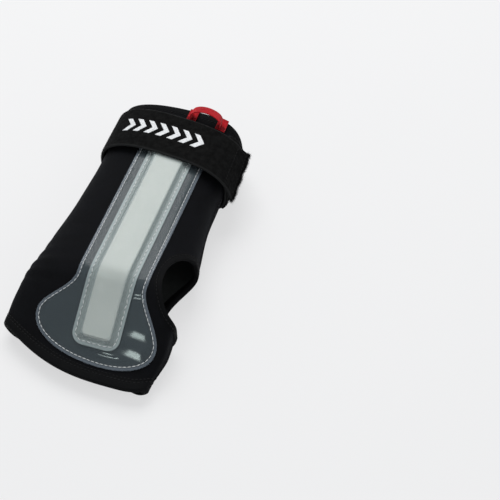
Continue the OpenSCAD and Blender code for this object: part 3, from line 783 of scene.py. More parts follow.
class Nodes(Tree):
    """A Geometry Nodes tree with named values, a seed and a material as its inputs."""

    def __init__(self, name, *values):
        super().__init__(bpy.data.node_groups.new(name, "GeometryNodeTree"))
        face = self.tree.interface
        face.new_socket("Geometry", in_out="INPUT", socket_type="NodeSocketGeometry")
        kinds = {**dict.fromkeys(values, "Float"), "Seed": "Int", "Material": "Material"}
        self.names = {}
        for label, kind in kinds.items():
            socket = face.new_socket(label, in_out="INPUT", socket_type="NodeSocket" + kind)
            self.names[label] = socket.identifier
        face.new_socket("Geometry", in_out="OUTPUT", socket_type="NodeSocketGeometry")
        self.start = self.tree.nodes.new("NodeGroupInput")
        self.end = self.tree.nodes.new("NodeGroupOutput")

    def __getitem__(self, label):
        return self.start.outputs[label]

    def mark(self, name, kind="FLOAT"):
        return self.first("GeometryNodeInputNamedAttribute", {"Name": name}, data_type=kind)

    def random(self, low, high):
        return self.add("FunctionNodeRandomValue", {2: low, 3: high, "Seed": self["Seed"]},
                        data_type="FLOAT").outputs[1]

    def aligned(self, axis, vector, start=None, pivot="AUTO"):
        inputs = {"Vector": vector, "Rotation": start} if start else {"Vector": vector}
        return self.first("FunctionNodeAlignRotationToVector", inputs, axis=axis, pivot_axis=pivot)

    def turned(self, rotation, angle):
        """A rotation turned by an angle about its own upright."""
        turn = self.first("FunctionNodeAxisAngleToRotation", {"Axis": (0, 0, 1), "Angle": angle})
        return self.first("FunctionNodeRotateRotation", {"Rotation": rotation, "Rotate By": turn},
                          rotation_space="LOCAL")

    def copies(self, points, shape, rotation, scale):
        """Ends the tree with copies of a shape on points, as one smooth mesh of the material."""
        made = self.first("GeometryNodeInstanceOnPoints", {
            "Points": points, "Instance": shape, "Rotation": rotation, "Scale": scale})
        real = self.first("GeometryNodeRealizeInstances", {"Geometry": made})
        painted = self.first("GeometryNodeSetMaterial", {"Geometry": real, "Material": self["Material"]})
        self.fill(self.end, {0: self.first("GeometryNodeSetShadeSmooth", {"Geometry": painted})})
        return self

    def made_from(self, name, source, **values):
        """A plain mesh that the tree makes from a source object, which is then removed."""
        modifier = source.modifiers.new("nodes", "NODES")
        modifier.node_group = self.tree
        for label, value in values.items():
            modifier[self.names[label]] = value
        depsgraph = bpy.context.evaluated_depsgraph_get()
        mesh = bpy.data.meshes.new_from_object(source.evaluated_get(depsgraph), depsgraph=depsgraph)
        bpy.data.objects.remove(source)
        mesh.name = name
        return new_object(name, mesh, None)


def stitch_tree():
    """Stitches along lines: each a rounded length of thread, leaning to one side and the other in turn."""
    nodes = Nodes("stitches", "Pitch", "Length", "Thread", "Lean")
    line = nodes.first("GeometryNodeMeshToCurve", {"Mesh": nodes["Geometry"]})
    spaced = nodes.first("GeometryNodeResampleCurve", {"Curve": line, "Length": nodes["Pitch"]}, mode="LENGTH")
    ball = nodes.add("GeometryNodeMeshUVSphere", {"Segments": 8, "Rings": 6, "Radius": 0.5}).outputs["Mesh"]
    size = nodes.first("ShaderNodeCombineXYZ", {
        0: nodes["Length"], 1: nodes["Thread"], 2: nodes["Thread"]})
    stitch = nodes.first("GeometryNodeTransform", {"Geometry": ball, "Scale": size})
    along = nodes.aligned("X", nodes.first("GeometryNodeInputTangent"))
    upright = nodes.aligned("Z", nodes.mark("out", "FLOAT_VECTOR"), along, "X")
    odd = nodes.math("MODULO", nodes.first("GeometryNodeInputIndex"), 2.0)
    side = nodes.math("SUBTRACT", nodes.math("MULTIPLY", odd, 2.0), 1.0)
    angle = nodes.math("ADD", nodes.math("MULTIPLY", side, nodes["Lean"]), nodes.random(-0.07, 0.07))
    return nodes.copies(spaced, stitch, nodes.turned(upright, angle), nodes.random(0.92, 1.06))


def fibre_tree():
    """Fibres standing on faces: thin three-sided spikes that lean at random, as many as the mark nap says."""
    nodes = Nodes("fibres", "Density", "Length", "Thickness", "Tousle")
    spots = nodes.add("GeometryNodeDistributePointsOnFaces", {
        "Mesh": nodes["Geometry"], "Density": nodes.math("MULTIPLY", nodes["Density"], nodes.mark("nap")),
        "Seed": nodes["Seed"]}, distribute_method="RANDOM")
    spike = nodes.add("GeometryNodeMeshCone", {
        "Vertices": 3, "Radius Top": 0.0, "Radius Bottom": nodes["Thickness"], "Depth": nodes["Length"]},
        fill_type="NONE")
    loose = nodes.first("FunctionNodeRandomValue", {0: (-1, -1, -1), 1: (1, 1, 1), "Seed": nodes["Seed"]},
                        data_type="FLOAT_VECTOR")
    tousled = nodes.first("ShaderNodeVectorMath", {0: loose, "Scale": nodes["Tousle"]}, operation="SCALE")
    way = nodes.first("ShaderNodeVectorMath", {0: spots.outputs["Normal"], 1: tousled}, operation="ADD")
    return nodes.copies(spots.outputs["Points"], spike.outputs["Mesh"], nodes.aligned("Z", way),
                        nodes.random(0.45, 1.0))


def hook_tree(hook):
    """Hooks on points: each stands on its patch and turns its tip one way or the other."""
    nodes = Nodes("hooks", "Size")
    upright = nodes.aligned("Z", nodes.mark("out", "FLOAT_VECTOR"))
    facing = nodes.turned(upright, nodes.random(0.0, 2 * math.pi))
    shape = nodes.add("GeometryNodeObjectInfo", {"Object": hook}).outputs["Geometry"]
    points = nodes.first("GeometryNodeMeshToPoints", {"Mesh": nodes["Geometry"]})
    return nodes.copies(points, shape, facing, nodes["Size"])


stitching = stitch_tree()
fibres = fibre_tree()

# Each kind of stitch: its pitch, its length and its thread's thickness
hem_stitch = (2.6, 2.1, 0.5)
seam_stitch = (1.5, 3.0, 0.55)
base_stitch = (3.1, 2.9, 0.52)
pocket_stitch = (3.6, 3.0, 0.46)
strap_stitch = (2.8, 2.4, 0.65)
tab_stitch = (2.8, 2.3, 0.6)
tack_stitch = (0.75, 1.2, 0.45)
# How far a line of thread lies over its surface
hem_thread_lift = 0.22
seam_thread_lift = 0.2
box_thread_lift = 0.1
flat_thread_lift = 0.05


def stitches(name, lines, kind, material, slot, node, body="sleeve", lean=0, seed=1):
    """Stitches along lines of points, each given with its outward directions and if it closes."""
    pitch, length, thread = (size / 1000 for size in kind)
    edges, first = [], 0
    for line, _, closed in lines:
        last = first + len(line) - 1
        edges += [(i, i + 1) for i in range(first, last)] + [(last, first)] * closed
        first = last + 1
    points = place(np.concatenate([line for line, _, _ in lines]))
    mesh = new_mesh(name + "_line", points, edges, out=np.concatenate([out for _, out, _ in lines]))
    piece = stitching.made_from(
        name, new_object(name + "_line", mesh, None), Pitch=pitch, Length=length, Thread=thread,
        Lean=math.radians(lean), Seed=seed, Material=material)
    dress(piece, body, node)


def fuzz(name, piece, density, length, thickness, tousle, material, seed):
    """Fibres on the faces of a piece that its mark nap covers, with density per square millimetre."""
    source = new_object(name + "_bed", piece.data.copy(), None)
    return fibres.made_from(
        name, source, Density=density * 1e6, Length=length / 1000, Thickness=thickness / 1000, Tousle=tousle,
        Seed=seed, Material=material)


def laid_line(surface, lift, closed=False, step=0.2):
    """A line of points on a surface function of the lift, with its outward directions."""
    line = surface(lift)
    return line, unit(surface(lift + step) - line), closed


def box_line(low, high, half, surface):
    """A closed line of thread round a box, from low to high along and half to each side."""
    side = np.linspace(low, high, 30)
    end = np.linspace(-half, half, 20)[1:-1]
    along = np.concatenate([side, np.full(18, high), side[::-1], np.full(18, low)])
    across = np.concatenate([np.full(30, -half), end, np.full(30, half), end[::-1]])
    return laid_line(lambda lift: surface(along, across, lift), box_thread_lift, True)


# Sleeve

hole_rows = thumb_mid - thumb_length / 2 * cos(np.linspace(0, 180, 61))
hand_rows = np.linspace(-hand_length, hole_rows[0], 40)[:-1]
forearm_rows = np.linspace(hole_rows[-1], forearm_length, 45)[1:]
panel_rows = np.concatenate([hand_rows, hole_rows, forearm_rows])
little_seam = np.full(len(panel_rows), 180.0)


# Folds of the fabric: how far apart they lie along and round the sleeve, and how deep
wrist_fold = (13, 75)
wrist_fold_depth = 0.55
wrist_fold_reach = 26
long_fold = (46, 140)
long_fold_depth = 0.3
back_fold_depth = 0.25
hand_fade = (10, 24)
cuff_fade = (8, 20)


def slack_folds(t, q):
    """How far the fabric sinks in soft folds: slanting ones beside the wrist, long shallow ones elsewhere."""
    edge = ease(share(q + hand_length, hand_fade)) * ease(share(forearm_length - q, cuff_fade))
    flank = np.clip(1.35 * np.abs(cos(t)) - 0.35, 0, 1)
    back = np.clip(-sin(t), 0, 1)
    at_wrist = hump((q + 2) / wrist_fold_reach) * (0.5 + 0.5 * waves(q / wrist_fold[0] + t / wrist_fold[1]))
    long_one = 0.5 + 0.5 * waves(q / long_fold[0] - t / long_fold[1] + 0.2)
    beside = wrist_fold_depth * at_wrist + long_fold_depth * long_one
    return edge * (flank * beside + back_fold_depth * back * long_one)


def panel(name, starts, stops, columns, node):
    """One panel of the sleeve from turn to turn, with its thickness."""
    turns = mix(starts[:, None], stops[:, None], np.linspace(0, 1, columns))
    rows = np.repeat(panel_rows[:, None], columns, 1)
    sunk = slack_folds(turns, rows)
    outer = skin(turns, rows, -sunk)
    inner = skin(turns, rows, -wall - 0.6 * sunk)
    rings = np.concatenate([outer, inner[:, ::-1]], 1)
    girth = np.linalg.norm(np.diff(outer, axis=1), axis=2).cumsum(1)
    across = np.concatenate([np.zeros((len(rows), 1)), girth], 1)
    uv = np.stack([across - across[:, [columns // 2]], rows], -1)
    uv = np.concatenate([uv, uv[:, ::-1]], 1)
    # The inner face takes the knit's inside colour, which is painted fill light for the shaded inside
    inside = np.broadcast_to(np.repeat([0, 1], columns), rings.shape[:2])
    piece = swept(name, rings, neoprene, uv, marks={"lining": inside})
    dress(piece, "sleeve", node)
    return piece


palm_cloth = panel("palm_cloth", thumb_palm_angle * hole_share(panel_rows), little_seam, 96, "palm_panel")
panel("back_cloth", little_seam, 360 - thumb_back_angle * hole_share(panel_rows), 84, "back_panel")

# The hems' folded tape
thread_reach = 0.8
tape_lap = 0.06
tape_rise = 0.42
tape_bow = 0.9
tape_tuck = 0.3
thread_dip = 0.3
pucker = 0.16


def fold_section(width, thread_lines):
    """The folded tape in section: distance in from the edge, offset from the skin, and the puckers' depth."""
    reach = np.linspace(width, 0, 15)
    dip = sum(hump((reach - line) / thread_reach) for line in thread_lines)
    rise = tape_lap + tape_rise * (1 - (reach / width) ** 5)
    bow = np.linspace(90, -90, 11)[1:-1]
    core = wall / 2
    outer = [(reach, rise - thread_dip * dip, -pucker * dip),
             (-tape_bow * cos(bow), -core + (core + rise[-1]) * sin(bow), 0),
             (reach[::-1], -wall - rise[::-1], 0)]
    inner = [(reach, tape_tuck - wall, 0), (tape_tuck, -core - (core - tape_tuck) * sin(bow), 0),
             (reach[::-1], -tape_tuck, 0)]
    return np.concatenate([point(*run) for run in outer + inner])


def hem(name, width, turns, surface, thread_lines, node):
    """Tape folded over an edge: surface gives a point from a turn, a distance in and an offset."""
    fold = fold_section(width, thread_lines)
    middle_line = surface(turns, 0, 0)
    around = arc_length(middle_line)
    length = around[-1] + np.linalg.norm(middle_line[0] - middle_line[-1])
    drawn = 0.5 + 0.5 * np.cos(2 * np.pi * round(length / hem_stitch[0]) * around / length)
    rings = surface(turns[:, None], fold[:, 0], fold[:, 1] + fold[:, 2] * drawn[:, None])
    uv = np.stack(np.broadcast_arrays(arc_length(fold[:, :2]), around[:, None]), -1)
    dress(swept(name, rings, hem_tape, uv, wrap=length), "sleeve", node)


def hem_stitches(name, surface, turns, inward_lines, node):
    """A hem's lines of thread, each a distance in from the edge."""
    lines = [laid_line(lambda lift, inward=inward: surface(turns, inward, lift), hem_thread_lift, True)
             for inward in inward_lines]
    stitches(name, lines, hem_stitch, dark_thread, "dark_thread", node)


def hand_edge(t, inward, d):
    return skin(t, inward - hand_length, d)


def cuff_edge(t, inward, d):
    return skin(t, forearm_length - inward, d)


def thumb_edge(f, inward, d):
    """The thumb hole's rim, whose hem stands out in a small corner where it crosses the side seam."""
    corner = hump((f - 180) / 9)
    return rim(f, inward, d + 0.5 * corner * (d > -wall))


around_edge = np.linspace(0, 360, 481)[:-1]
around_hole = np.linspace(0, 360, 361)[:-1]
hand_line = binding_width - binding_inset
hems = (
    ("hand", binding_width, around_edge, hand_edge, (hand_line, hand_line - binding_pitch)),
    ("cuff", cuff_binding_width, around_edge, cuff_edge, (cuff_binding_width - binding_inset,)),
    ("thumb", thumb_binding_width, around_hole, thumb_edge, (thumb_binding_width - binding_inset,)),
)
for edge, width, turns, surface, lines in hems:
    hem(edge + "_hem", width, turns, surface, lines, edge + "_binding")
for edge, width, turns, surface, lines in hems:
    hem_stitches(edge + "_hem_stitches", surface, turns, lines, edge + "_binding_thread")


def seam_stitches():
    """Flat seams down both sides, in slanting stitches."""
    hand_stop = -hand_length + binding_width + seam_stop
    hole_clear = thumb_length / 2 + thumb_binding_width + seam_stop
    strap_stop = strap_half + strap_clear
    spans = [(180, hand_stop, strap_line(-forearm_little, strap_slant) - strap_stop),
             (0, hand_stop, thumb_mid - hole_clear),
             (0, thumb_mid + hole_clear, strap_line(forearm_thumb + strap_slack, back_slant) - strap_stop)]
    lines = []
    for turn, start, stop in spans:
        rows = np.linspace(start, stop, 60)
        sunk = slack_folds(turn, rows)
        lines.append(laid_line(lambda lift, turn=turn, rows=rows, sunk=sunk: skin(turn, rows, lift - sunk),
                               seam_thread_lift))
    stitches("side_seam_stitches", lines, seam_stitch, dark_thread, "dark_thread", "side_seam_thread", lean=58)


seam_stitches()


# Clear sheets and splint

def edge_distance(x, q, outline):
    """How far points lie from an outline, in millimetres, worked out a batch at a time."""
    start, step = outline[:-1], np.diff(outline, axis=0)
    size = np.maximum((step ** 2).sum(-1), 1e-9)
    flat = np.stack([x.reshape(-1), q.reshape(-1)], -1)
    out = np.empty(len(flat))
    batch = 2000
    for i in range(0, len(flat), batch):
        gap = flat[i:i + batch, None] - start[None]
        k = np.clip((gap * step).sum(-1) / size, 0, 1)
        out[i:i + batch] = np.sqrt(((gap - k[..., None] * step) ** 2).sum(-1).min(1))
    return out.reshape(x.shape)


def film(name, material, rows, half, columns, surface, loose_at, node):
    """A clear sheet with round rims, drawn down along its thread: surface gives a point from x, q and a height
    over what the sheet lies on. Gives the line of its thread, down its right side and up its left."""
    rim_r = sheet_thick / 2
    x, q, _, up = strip_grid(rows, half, rim_r, columns, 4)
    outline = np.concatenate([np.stack([half, rows], -1), np.stack([-half, rows], -1)[::-1]])
    inside = edge_distance(x, q, outline)
    drawn = film_pucker * hump((inside - stitch_inset) / thread_reach)
    rings = surface(x, q, rim_r + up * rim_r + loose_at(x, q, inside) - drawn)
    piece = swept(name, rings, material, np.stack([x, q], -1), marks={"edge": inside})
    dress(piece, "sleeve", node)
    cut = float(2 * np.trapz(half[::-1], rows[::-1])) / 1e6
    way = unit(np.gradient(outline, axis=0))
    return outline + stitch_inset * np.stack([way[:, 1], -way[:, 0]], -1)


def sew_film(name, line, surface, kind, node, **settings):
    """A clear sheet's line of thread."""
    sewn = laid_line(lambda lift: surface(line[:, 0], line[:, 1], lift), sheet_thick + flat_thread_lift)
    stitches(name, [sewn], kind, white_thread, "white_thread", node, **settings)


# Places across and along the base sheet: the window's glints on the bell, and the small waves below the
# pocket's end and across the neck, with the waves' slant, bow, pitch and sides
bell_glints = ((28.8, -32.4), (32.4, -44.8))
below_at = (13.1, -51.78)
below_slant = 0.1315
below_bow = 0.00975
below_pitch = 1.95
below_half = (2.5, 7.6)
neck_at = (18.4, -11.45)
neck_slant = 0.134
neck_pitch = 2.1
neck_sides = (17.2, 26.2)
swell_height = 0.22
film_pucker = 0.06
round_rows = -round_start - bell_round * sin(np.linspace(0, 89.4, 130)) ** (2 / bell_power)
base_rows = np.concatenate([np.linspace(base_top, -bell_start, 90)[:-1],
                            np.linspace(-bell_start, -round_start, 110)[:-1], round_rows])


def ripple(along, pitch, slope, low, high):
    """A short run of even waves from low to high along their way, as steep as slope where they rise."""
    inside = ease((along - low) / (0.25 * pitch)) * ease((high - along) / (0.25 * pitch))
    return slope * pitch / (2 * np.pi) * inside * waves(along / pitch)


def film_ripples(x, q):
    """Small waves of the base sheet: below the pocket's end, and across the neck on the thumb side."""
    side = x - below_at[0]
    along = q - below_at[1] - below_slant * side - below_bow * side ** 2
    reach = np.clip(below_half[1] - 2.3 * along, *below_half)
    below = ripple(along, below_pitch, slope=0.21 - 0.03 * along, low=-0.98, high=2.9)
    below = below * ease((reach + 1 - np.abs(side + 0.6 * along)) / 2)
    along = q - neck_at[1] - neck_slant * (x - neck_at[0])
    neck = ripple(along, neck_pitch, slope=0.19, low=-1.05, high=3.1)
    outer = neck_sides[1] - 1.2 * np.clip(along, 0, 3)
    return below + neck * ease((x - neck_sides[0]) / 1.2) * ease((outer - x) / 1.5)


def bell_swell(x, q):
    """Two small waves down the bell's thumb side, whose slopes carry the window's glints."""
    first, second = bell_glints[0][1], bell_glints[1][1]
    pitch = first - second
    side = ease((x - 18) / 8) * ease((bell_width / 2 - bell_side - 2.5 - x) / 5)
    ends = ease((1.2 * pitch - np.abs(q - (first + second) / 2)) / (0.5 * pitch))
    return swell_height * side * ends * (1 + waves((q - first) / pitch))


def base_loose(x, q, inside):
    """The base sheet's slack: long shallow waves between its lines of thread, and the small ones."""
    shallow = mix(0.06, 0.02, ease((x + 5) / 15)) * (1 + waves(q / 37 + x / 90) * waves(x / 55 - q / 120))
    free = shallow * ease((inside - stitch_inset) / 6) + bell_swell(x, q)
    under_pocket = (np.abs(x) < pocket_width / 2 + 1) & (q > -pocket_end - 1)
    return np.where(under_pocket, 0, free) + film_ripples(x, q)


def pocket_loose(x, q, inside):
    """The pocket sheet's slack: even waves, and a swell beside the splint below the crease."""
    even = 0.10 * (1 + waves(q / 29)) * ease((inside - stitch_inset) / 3)
    return even + 0.65 * hump((x + 5.4) / 4) * hump((q + 8.7) / 5)


def on_palm(x, q, height):
    return base_point(x, q, base_low + height)


def on_splint(x, q, height):
    return palm(x, q, pocket_low(x, q) + height)


def strip_rows(top, end, corner, count):
    """Rows from a strip's top to its end, closer together round its corners."""
    turn = corner * (1 - sin(np.linspace(90, 0, 9)))
    between = np.linspace(top - corner, -end + corner, count)[1:-1]
    return np.concatenate([top - turn, between, -end + turn[::-1]])


def splint():
    """The splint's blade, with softly rounded rims."""
    rows = strip_rows(splint_top, splint_end, splint_corner, 130)
    half = strip_half(rows, splint_width, splint_corner, splint_end, splint_top)
    rim_width = 0.85
    flat_rim = 0.25
    x, q, _, up = strip_grid(rows, half, rim_width, 25, 5)
    d = splint_low + splint_thick / 2 + np.sign(up) * flat_rim * np.abs(up) ** 0.5
    rings = palm(x, q, d + up * (splint_thick / 2 - flat_rim))
    piece = swept("splint_blade", rings, splint_ivory, np.stack([x, q], -1))
    dress(piece, "sleeve", "splint")


def pocket_rows(near=0.05):
    """The pocket sheet's rows, with more where it falls past the splint's end, and none that nearly meet."""
    fall = -splint_end - np.linspace(0, layer_gap + pocket_fall, 8)
    rows = np.sort(np.concatenate([strip_rows(pocket_top, pocket_end, pocket_corner, 150), fall]))[::-1]
    return rows[np.concatenate([[True], -np.diff(rows) > near])]


line = film("base_film", base_film, base_rows, base_half(base_rows), 115, on_palm, base_loose, "base_sheet")
line = line[(line[:, 1] < base_top - stitch_inset) & (line[:, 1] > -base_end + stitch_inset * 0.9)]
sew_film("base_stitches", line, on_palm, base_stitch, "base_thread", lean=3, seed=4)
splint()
rows = pocket_rows()
half = strip_half(rows, pocket_width, pocket_corner, pocket_end, pocket_top)
line = film("pocket_film", pocket_film, rows, half, 67, on_splint, pocket_loose, "pocket_sheet")
line = line[line[:, 1] < pocket_top - stitch_inset * 1.1]
sew_film("pocket_stitches", line, on_splint, pocket_stitch, "pocket_thread", lean=14, seed=7)


# Strap

fold_turns = (205, 155)
end_join = 52
hinge_turns = (40.5, 35.5)
end_length = 26


def top_face(out, up, shape):
    """1 on a strip's flat upper face and 0 elsewhere."""
    return np.broadcast_to((np.abs(out) < 0.01) & (up > 0), shape)


def strap_skin(name, surface, turns, half=strap_half, low=0, high=strap_thick, material=strap_cloth):
    """A stretch of strap with round edges: surface gives a point from a turn, a place across and a height."""
    rim_r = (high - low) / 2
    v, t, out, up = strip_grid(turns, half, rim_r, 33, 5)
    rings = surface(t, v, np.broadcast_to(low + rim_r + up * rim_r, t.shape))
    uv = np.stack(np.broadcast_arrays(v, arc_length(surface(turns, 0.0, high))[:, None]), -1)
    return swept(name, rings, material, uv, marks={"edge": half - np.abs(v), "nap": top_face(out, up, t.shape)})


def any_strap(t, v, up):
    """The strap round its whole way: back strap past the little-finger side, front band before it."""
    return np.where((t > 180)[..., None], back_strap(t, v, up), front_strap(t, v, up))


def strap_point(t):
    return Vector(place(front_strap(t, 0.0, strap_thick)))


def bend_at_anchor(piece):
    """Bakes a piece's place into its mesh; the strap's middle at the little-finger side is worked out and not
    used.
    """
    centre = place(any_strap(np.array(180.0), 0.0, strap_thick))
    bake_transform(piece)


def bend_at_tab(piece):
    """Bakes a piece's place into its mesh; two points of the band at the hinge are worked out and not used."""
    strap_point(hinge_turns[0])
    strap_point(hinge_turns[1])
    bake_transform(piece)


back_piece = strap_skin("strap_back", back_strap, np.linspace(back_angles[1], fold_turns[0], 150))
dress(back_piece, "sleeve", "back_strap")
fold_piece = strap_skin("strap_fold", any_strap, np.linspace(*fold_turns, 60))
bend_at_anchor(fold_piece)
front_piece = strap_skin("strap_front", front_strap, np.linspace(fold_turns[1], end_join, 110))
dress(front_piece, "strap", "band")


def end_strap(k, v, up):
    """The band's last stretch and then the tab, as one strip: k is 0 at the tab's start and 1 at its end."""
    start = tab_start_angle - hinge_angle
    before = front_strap(start - k * (end_join - start), v, up)
    return np.where((k < 0)[..., None], before, tab_point(np.maximum(k, 0), v / strap_half, up))


rng = np.random.default_rng(11)


def ragged(v):
    """How far the torn end of the tab reaches past its cut, as a share of the tab's length."""
    slow = np.interp(v, np.linspace(-strap_half, strap_half, 12), rng.uniform(-0.02, 0.05, 12))
    fast = np.interp(v, np.linspace(-strap_half, strap_half, 40), rng.uniform(-0.012, 0.03, 40))
    return slow + fast


def strap_end():
    """The band's last stretch and the tab, torn at the end, with marks where it is napped and frayed."""
    rim_r = strap_thick / 2
    shares = np.concatenate([np.linspace(-1, 0, 24)[:-1], np.linspace(0, 1, 60)])
    v, k, out, up = strip_grid(shares, strap_half, rim_r, 33, 5)
    row = np.sort(v[0])
    k = k + np.interp(v[0], row, ragged(row)) * np.clip(k, 0, 1) ** 6
    thin_from = 0.9
    lift = rim_r + up * rim_r * np.where(k > thin_from, mix(1, 0.7, (k - thin_from) / 0.1), 1)
    edge = np.minimum(strap_half - np.abs(v), np.maximum(0, (1.01 - k) * end_length))
    fray = np.clip((k - thin_from) / 0.06, 0, 1)
    return swept("strap_end", end_strap(k, v, lift), strap_cloth, np.stack([v, k * end_length], -1),
                 marks={"edge": edge, "nap": top_face(out, up, k.shape), "fray": fray})


def swap_mark(piece, mark):
    """Copies a named mark of a piece's points over its mark nap."""
    values = np.zeros(len(piece.data.vertices), np.float32)
    piece.data.attributes[mark].data.foreach_get("value", values)
    piece.data.attributes["nap"].data.foreach_set("value", values)


end_piece = strap_end()
nap_values = dict(density=7, length=0.75, thickness=0.05, tousle=0.9, material=nap_fibre)
front_nap = fuzz("strap_front_nap", front_piece, seed=3, **nap_values)
fold_nap = fuzz("strap_fold_nap", fold_piece, seed=4, **nap_values)
end_nap = fuzz("strap_end_nap", end_piece, seed=5, **nap_values)
back_nap = fuzz("strap_back_nap", back_piece, seed=6, **{**nap_values, "density": 4})
swap_mark(end_piece, "fray")
end_fray = fuzz("strap_end_fray", end_piece, density=26, length=2.8, thickness=0.08, tousle=1.5,
                material=nap_fibre, seed=8)

bend_at_tab(end_piece)
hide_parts("tab")
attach(front_nap, "strap")
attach(back_nap, "sleeve")
bend_at_anchor(fold_nap)
bend_at_tab(end_nap)
bend_at_tab(end_fray)


# Loop pile, hook patch and their stitching

pile_piece = strap_skin("pile_bed", back_strap, np.linspace(pile_angles[1], pile_angles[0], 90),
                        strap_half - pile_inset, pile_low, pile_high - 0.25, pile_cloth)
pile_fuzz = fuzz("pile_loops", pile_piece, density=13, length=1.0, thickness=0.06, tousle=1.1,
                 material=pile_fibre, seed=12)
dress(pile_piece, "sleeve", "loop_pile")
dress(pile_fuzz, "sleeve")


def box_stitches(name, low, high, base, node):
    """A box of thread on the back strap, on a layer of the height base."""
    line = box_line(low, high, strap_half - strap_inset, lambda t, v, lift: back_strap(t, v, base + lift))
    stitches(name, [line], strap_stitch, strap_thread, "dark_thread", node)


box_stitches("anchor_stitches", *anchor_angles, strap_thick, "anchor_thread")
box_stitches("pile_stitches", pile_angles[0] + strap_inset, -strap_inset, pile_high, "pile_thread")


def one_hook():
    """A single hook, one unit high: a four-sided stalk that bends over to its tip."""
    turns = np.linspace(0, 200, 8)
    bow = 0.28
    path = np.concatenate([[[0, 0, 0]], point(bow - bow * cos(turns), 0, 0.7 + bow * sin(turns))])
    side = np.array([0, 1.0, 0])
    front = np.cross(side, unit(np.gradient(path, axis=0)))
    thick = np.linspace(0.11, 0.06, len(path))[:, None]
    corners = ((1, 0), (0, 1), (-1, 0), (0, -1))
    rings = np.stack([path + thick * (a * front + b * side) for a, b in corners], 1)
    mesh = new_mesh("one_hook", rings.reshape(-1, 3), faces=ring_faces(len(path), len(corners)).tolist())
    finish_mesh(mesh, 60)
    return new_object("one_hook", mesh, None)


def hook_patch():
    """The hook patch under the tab, with its hooks."""
    w = 1 - hook_inset / strap_half
    back = 0.45
    low = -sewn_gap - back
    rim_r = back / 2
    rim_share = rim_r / strap_half
    across, k, _, up = strip_grid(np.linspace(1 / 12, 11 / 12, 40), w + rim_share, rim_share, 25, 3)
    rings = tab_point(k, across, low + rim_r + up * rim_r)
    bed = swept("hook_bed", rings, hook_nylon, np.stack([across * strap_half, k * 24], -1))
    row_count, column_count, stagger = 17, 24, 0.022
    rows, columns = np.meshgrid(np.linspace(0.11, 0.89, row_count),
                                np.linspace(-w * 0.96, w * 0.96, column_count), indexing="ij")
    rows = rows + np.where(np.arange(column_count) % 2, stagger, 0)
    feet, over = (tab_point(rows, columns, height).reshape(-1, 3) for height in (low, low - 0.2))
    mesh = new_mesh("hook_feet", place(feet), out=unit(over - feet))
    hook = one_hook()
    hooks = hook_tree(hook).made_from("hooks", new_object("hook_feet", mesh, None),
                                      Size=(hook_thick - back) / 1000, Seed=2, Material=hook_nylon)
    bpy.data.objects.remove(hook)
    dress(bed, "tab", "hook_patch")
    dress(hooks, "tab")


hook_patch()
tab_box = box_line(2 / 12, 10 / 12, 1 - strap_inset / strap_half,
                   lambda k, w, lift: tab_point(k, w, strap_thick + lift))
stitches("tab_stitches", [tab_box], tab_stitch, strap_thread, "dark_thread", "tab_thread", body="tab")


# Plain chevrons printed on the band

def chevrons():
    """A row of chevrons, a little proud of the band's face."""
    turns = np.linspace(150, 60, 200)
    along = arc_length(front_strap(turns, 0.0, strap_thick))
    count = 7
    pitch = 9.0
    arm = 6.0
    thick = 4.2
    reach = 5.0
    start = along[-1] / 2 - pitch * (count - 1) / 2 - 4
    v, s = np.meshgrid(np.linspace(-1, 1, 21), np.linspace(0, 1, 7), indexing="ij")
    tips = start + pitch * np.arange(count)[:, None, None]
    t = np.interp(tips + reach * (1 - np.abs(v)) + thick * s, along, turns)
    top, low = (front_strap(t, arm * v + 1.5, strap_thick + height) for height in (0.28, -0.3))
    rings = np.concatenate([top, low[:, :, ::-1]], 2)
    _, n, m, _ = rings.shape
    faces = np.concatenate([ring_faces(n, m) + i * n * m for i in range(count)])
    mesh = new_mesh("strap_chevrons", place(rings.reshape(-1, 3)), faces=faces.tolist())
    finish_mesh(mesh)
    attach(new_object("strap_chevrons", mesh, strap_print), "strap")


chevrons()


# Ribbon pull loop

loop_legs = (loop_side - loop_span / 2, loop_side + loop_span / 2)
leg_heights = [float(palm(x, loop_y, tail_high + layer_gap)[..., 2]) + ribbon_width / 2 for x in loop_legs]
loop_z = sum(leg_heights) / 2
loop_tilt = math.degrees(math.atan2(leg_heights[1] - leg_heights[0], loop_span))
rib_height = 0.05


def ribbon_tails():
    """The ribbon's two ends, sewn flat on the cuff with rows of tacks."""
    tacks = []
    rim_r = ribbon_thick / 2 - 0.1
    rows = np.linspace(forearm_length - tail_length, forearm_length, 80)
    across, q, _, up = strip_grid(rows, ribbon_width / 2, rim_r, 15, 3)
    d = tail_low + rim_r + up * rim_r + rib_height * waves(q / rib_pitch) * np.maximum(up, 0)
    for number, x in enumerate(loop_legs):
        rings = palm(x + across, q, d)
        piece = swept(f"ribbon_tail_{number}", rings, ribbon_red, np.stack([x + across, q], -1))
        dress(piece, "sleeve", "ribbon_tails")
        run = np.linspace(x - ribbon_width / 2 + 0.7, x + ribbon_width / 2 - 0.7, 14)
        for row in range(3):
            at = rows[0] + binding_inset + 1.1 * row
            tacks.append(laid_line(lambda lift, run=run, at=at: palm(run, at, tail_high + lift),
                                   flat_thread_lift))
    stitches("ribbon_tacks", tacks, tack_stitch, red_thread, "red_thread", "tail_tacks", lean=35, seed=9)


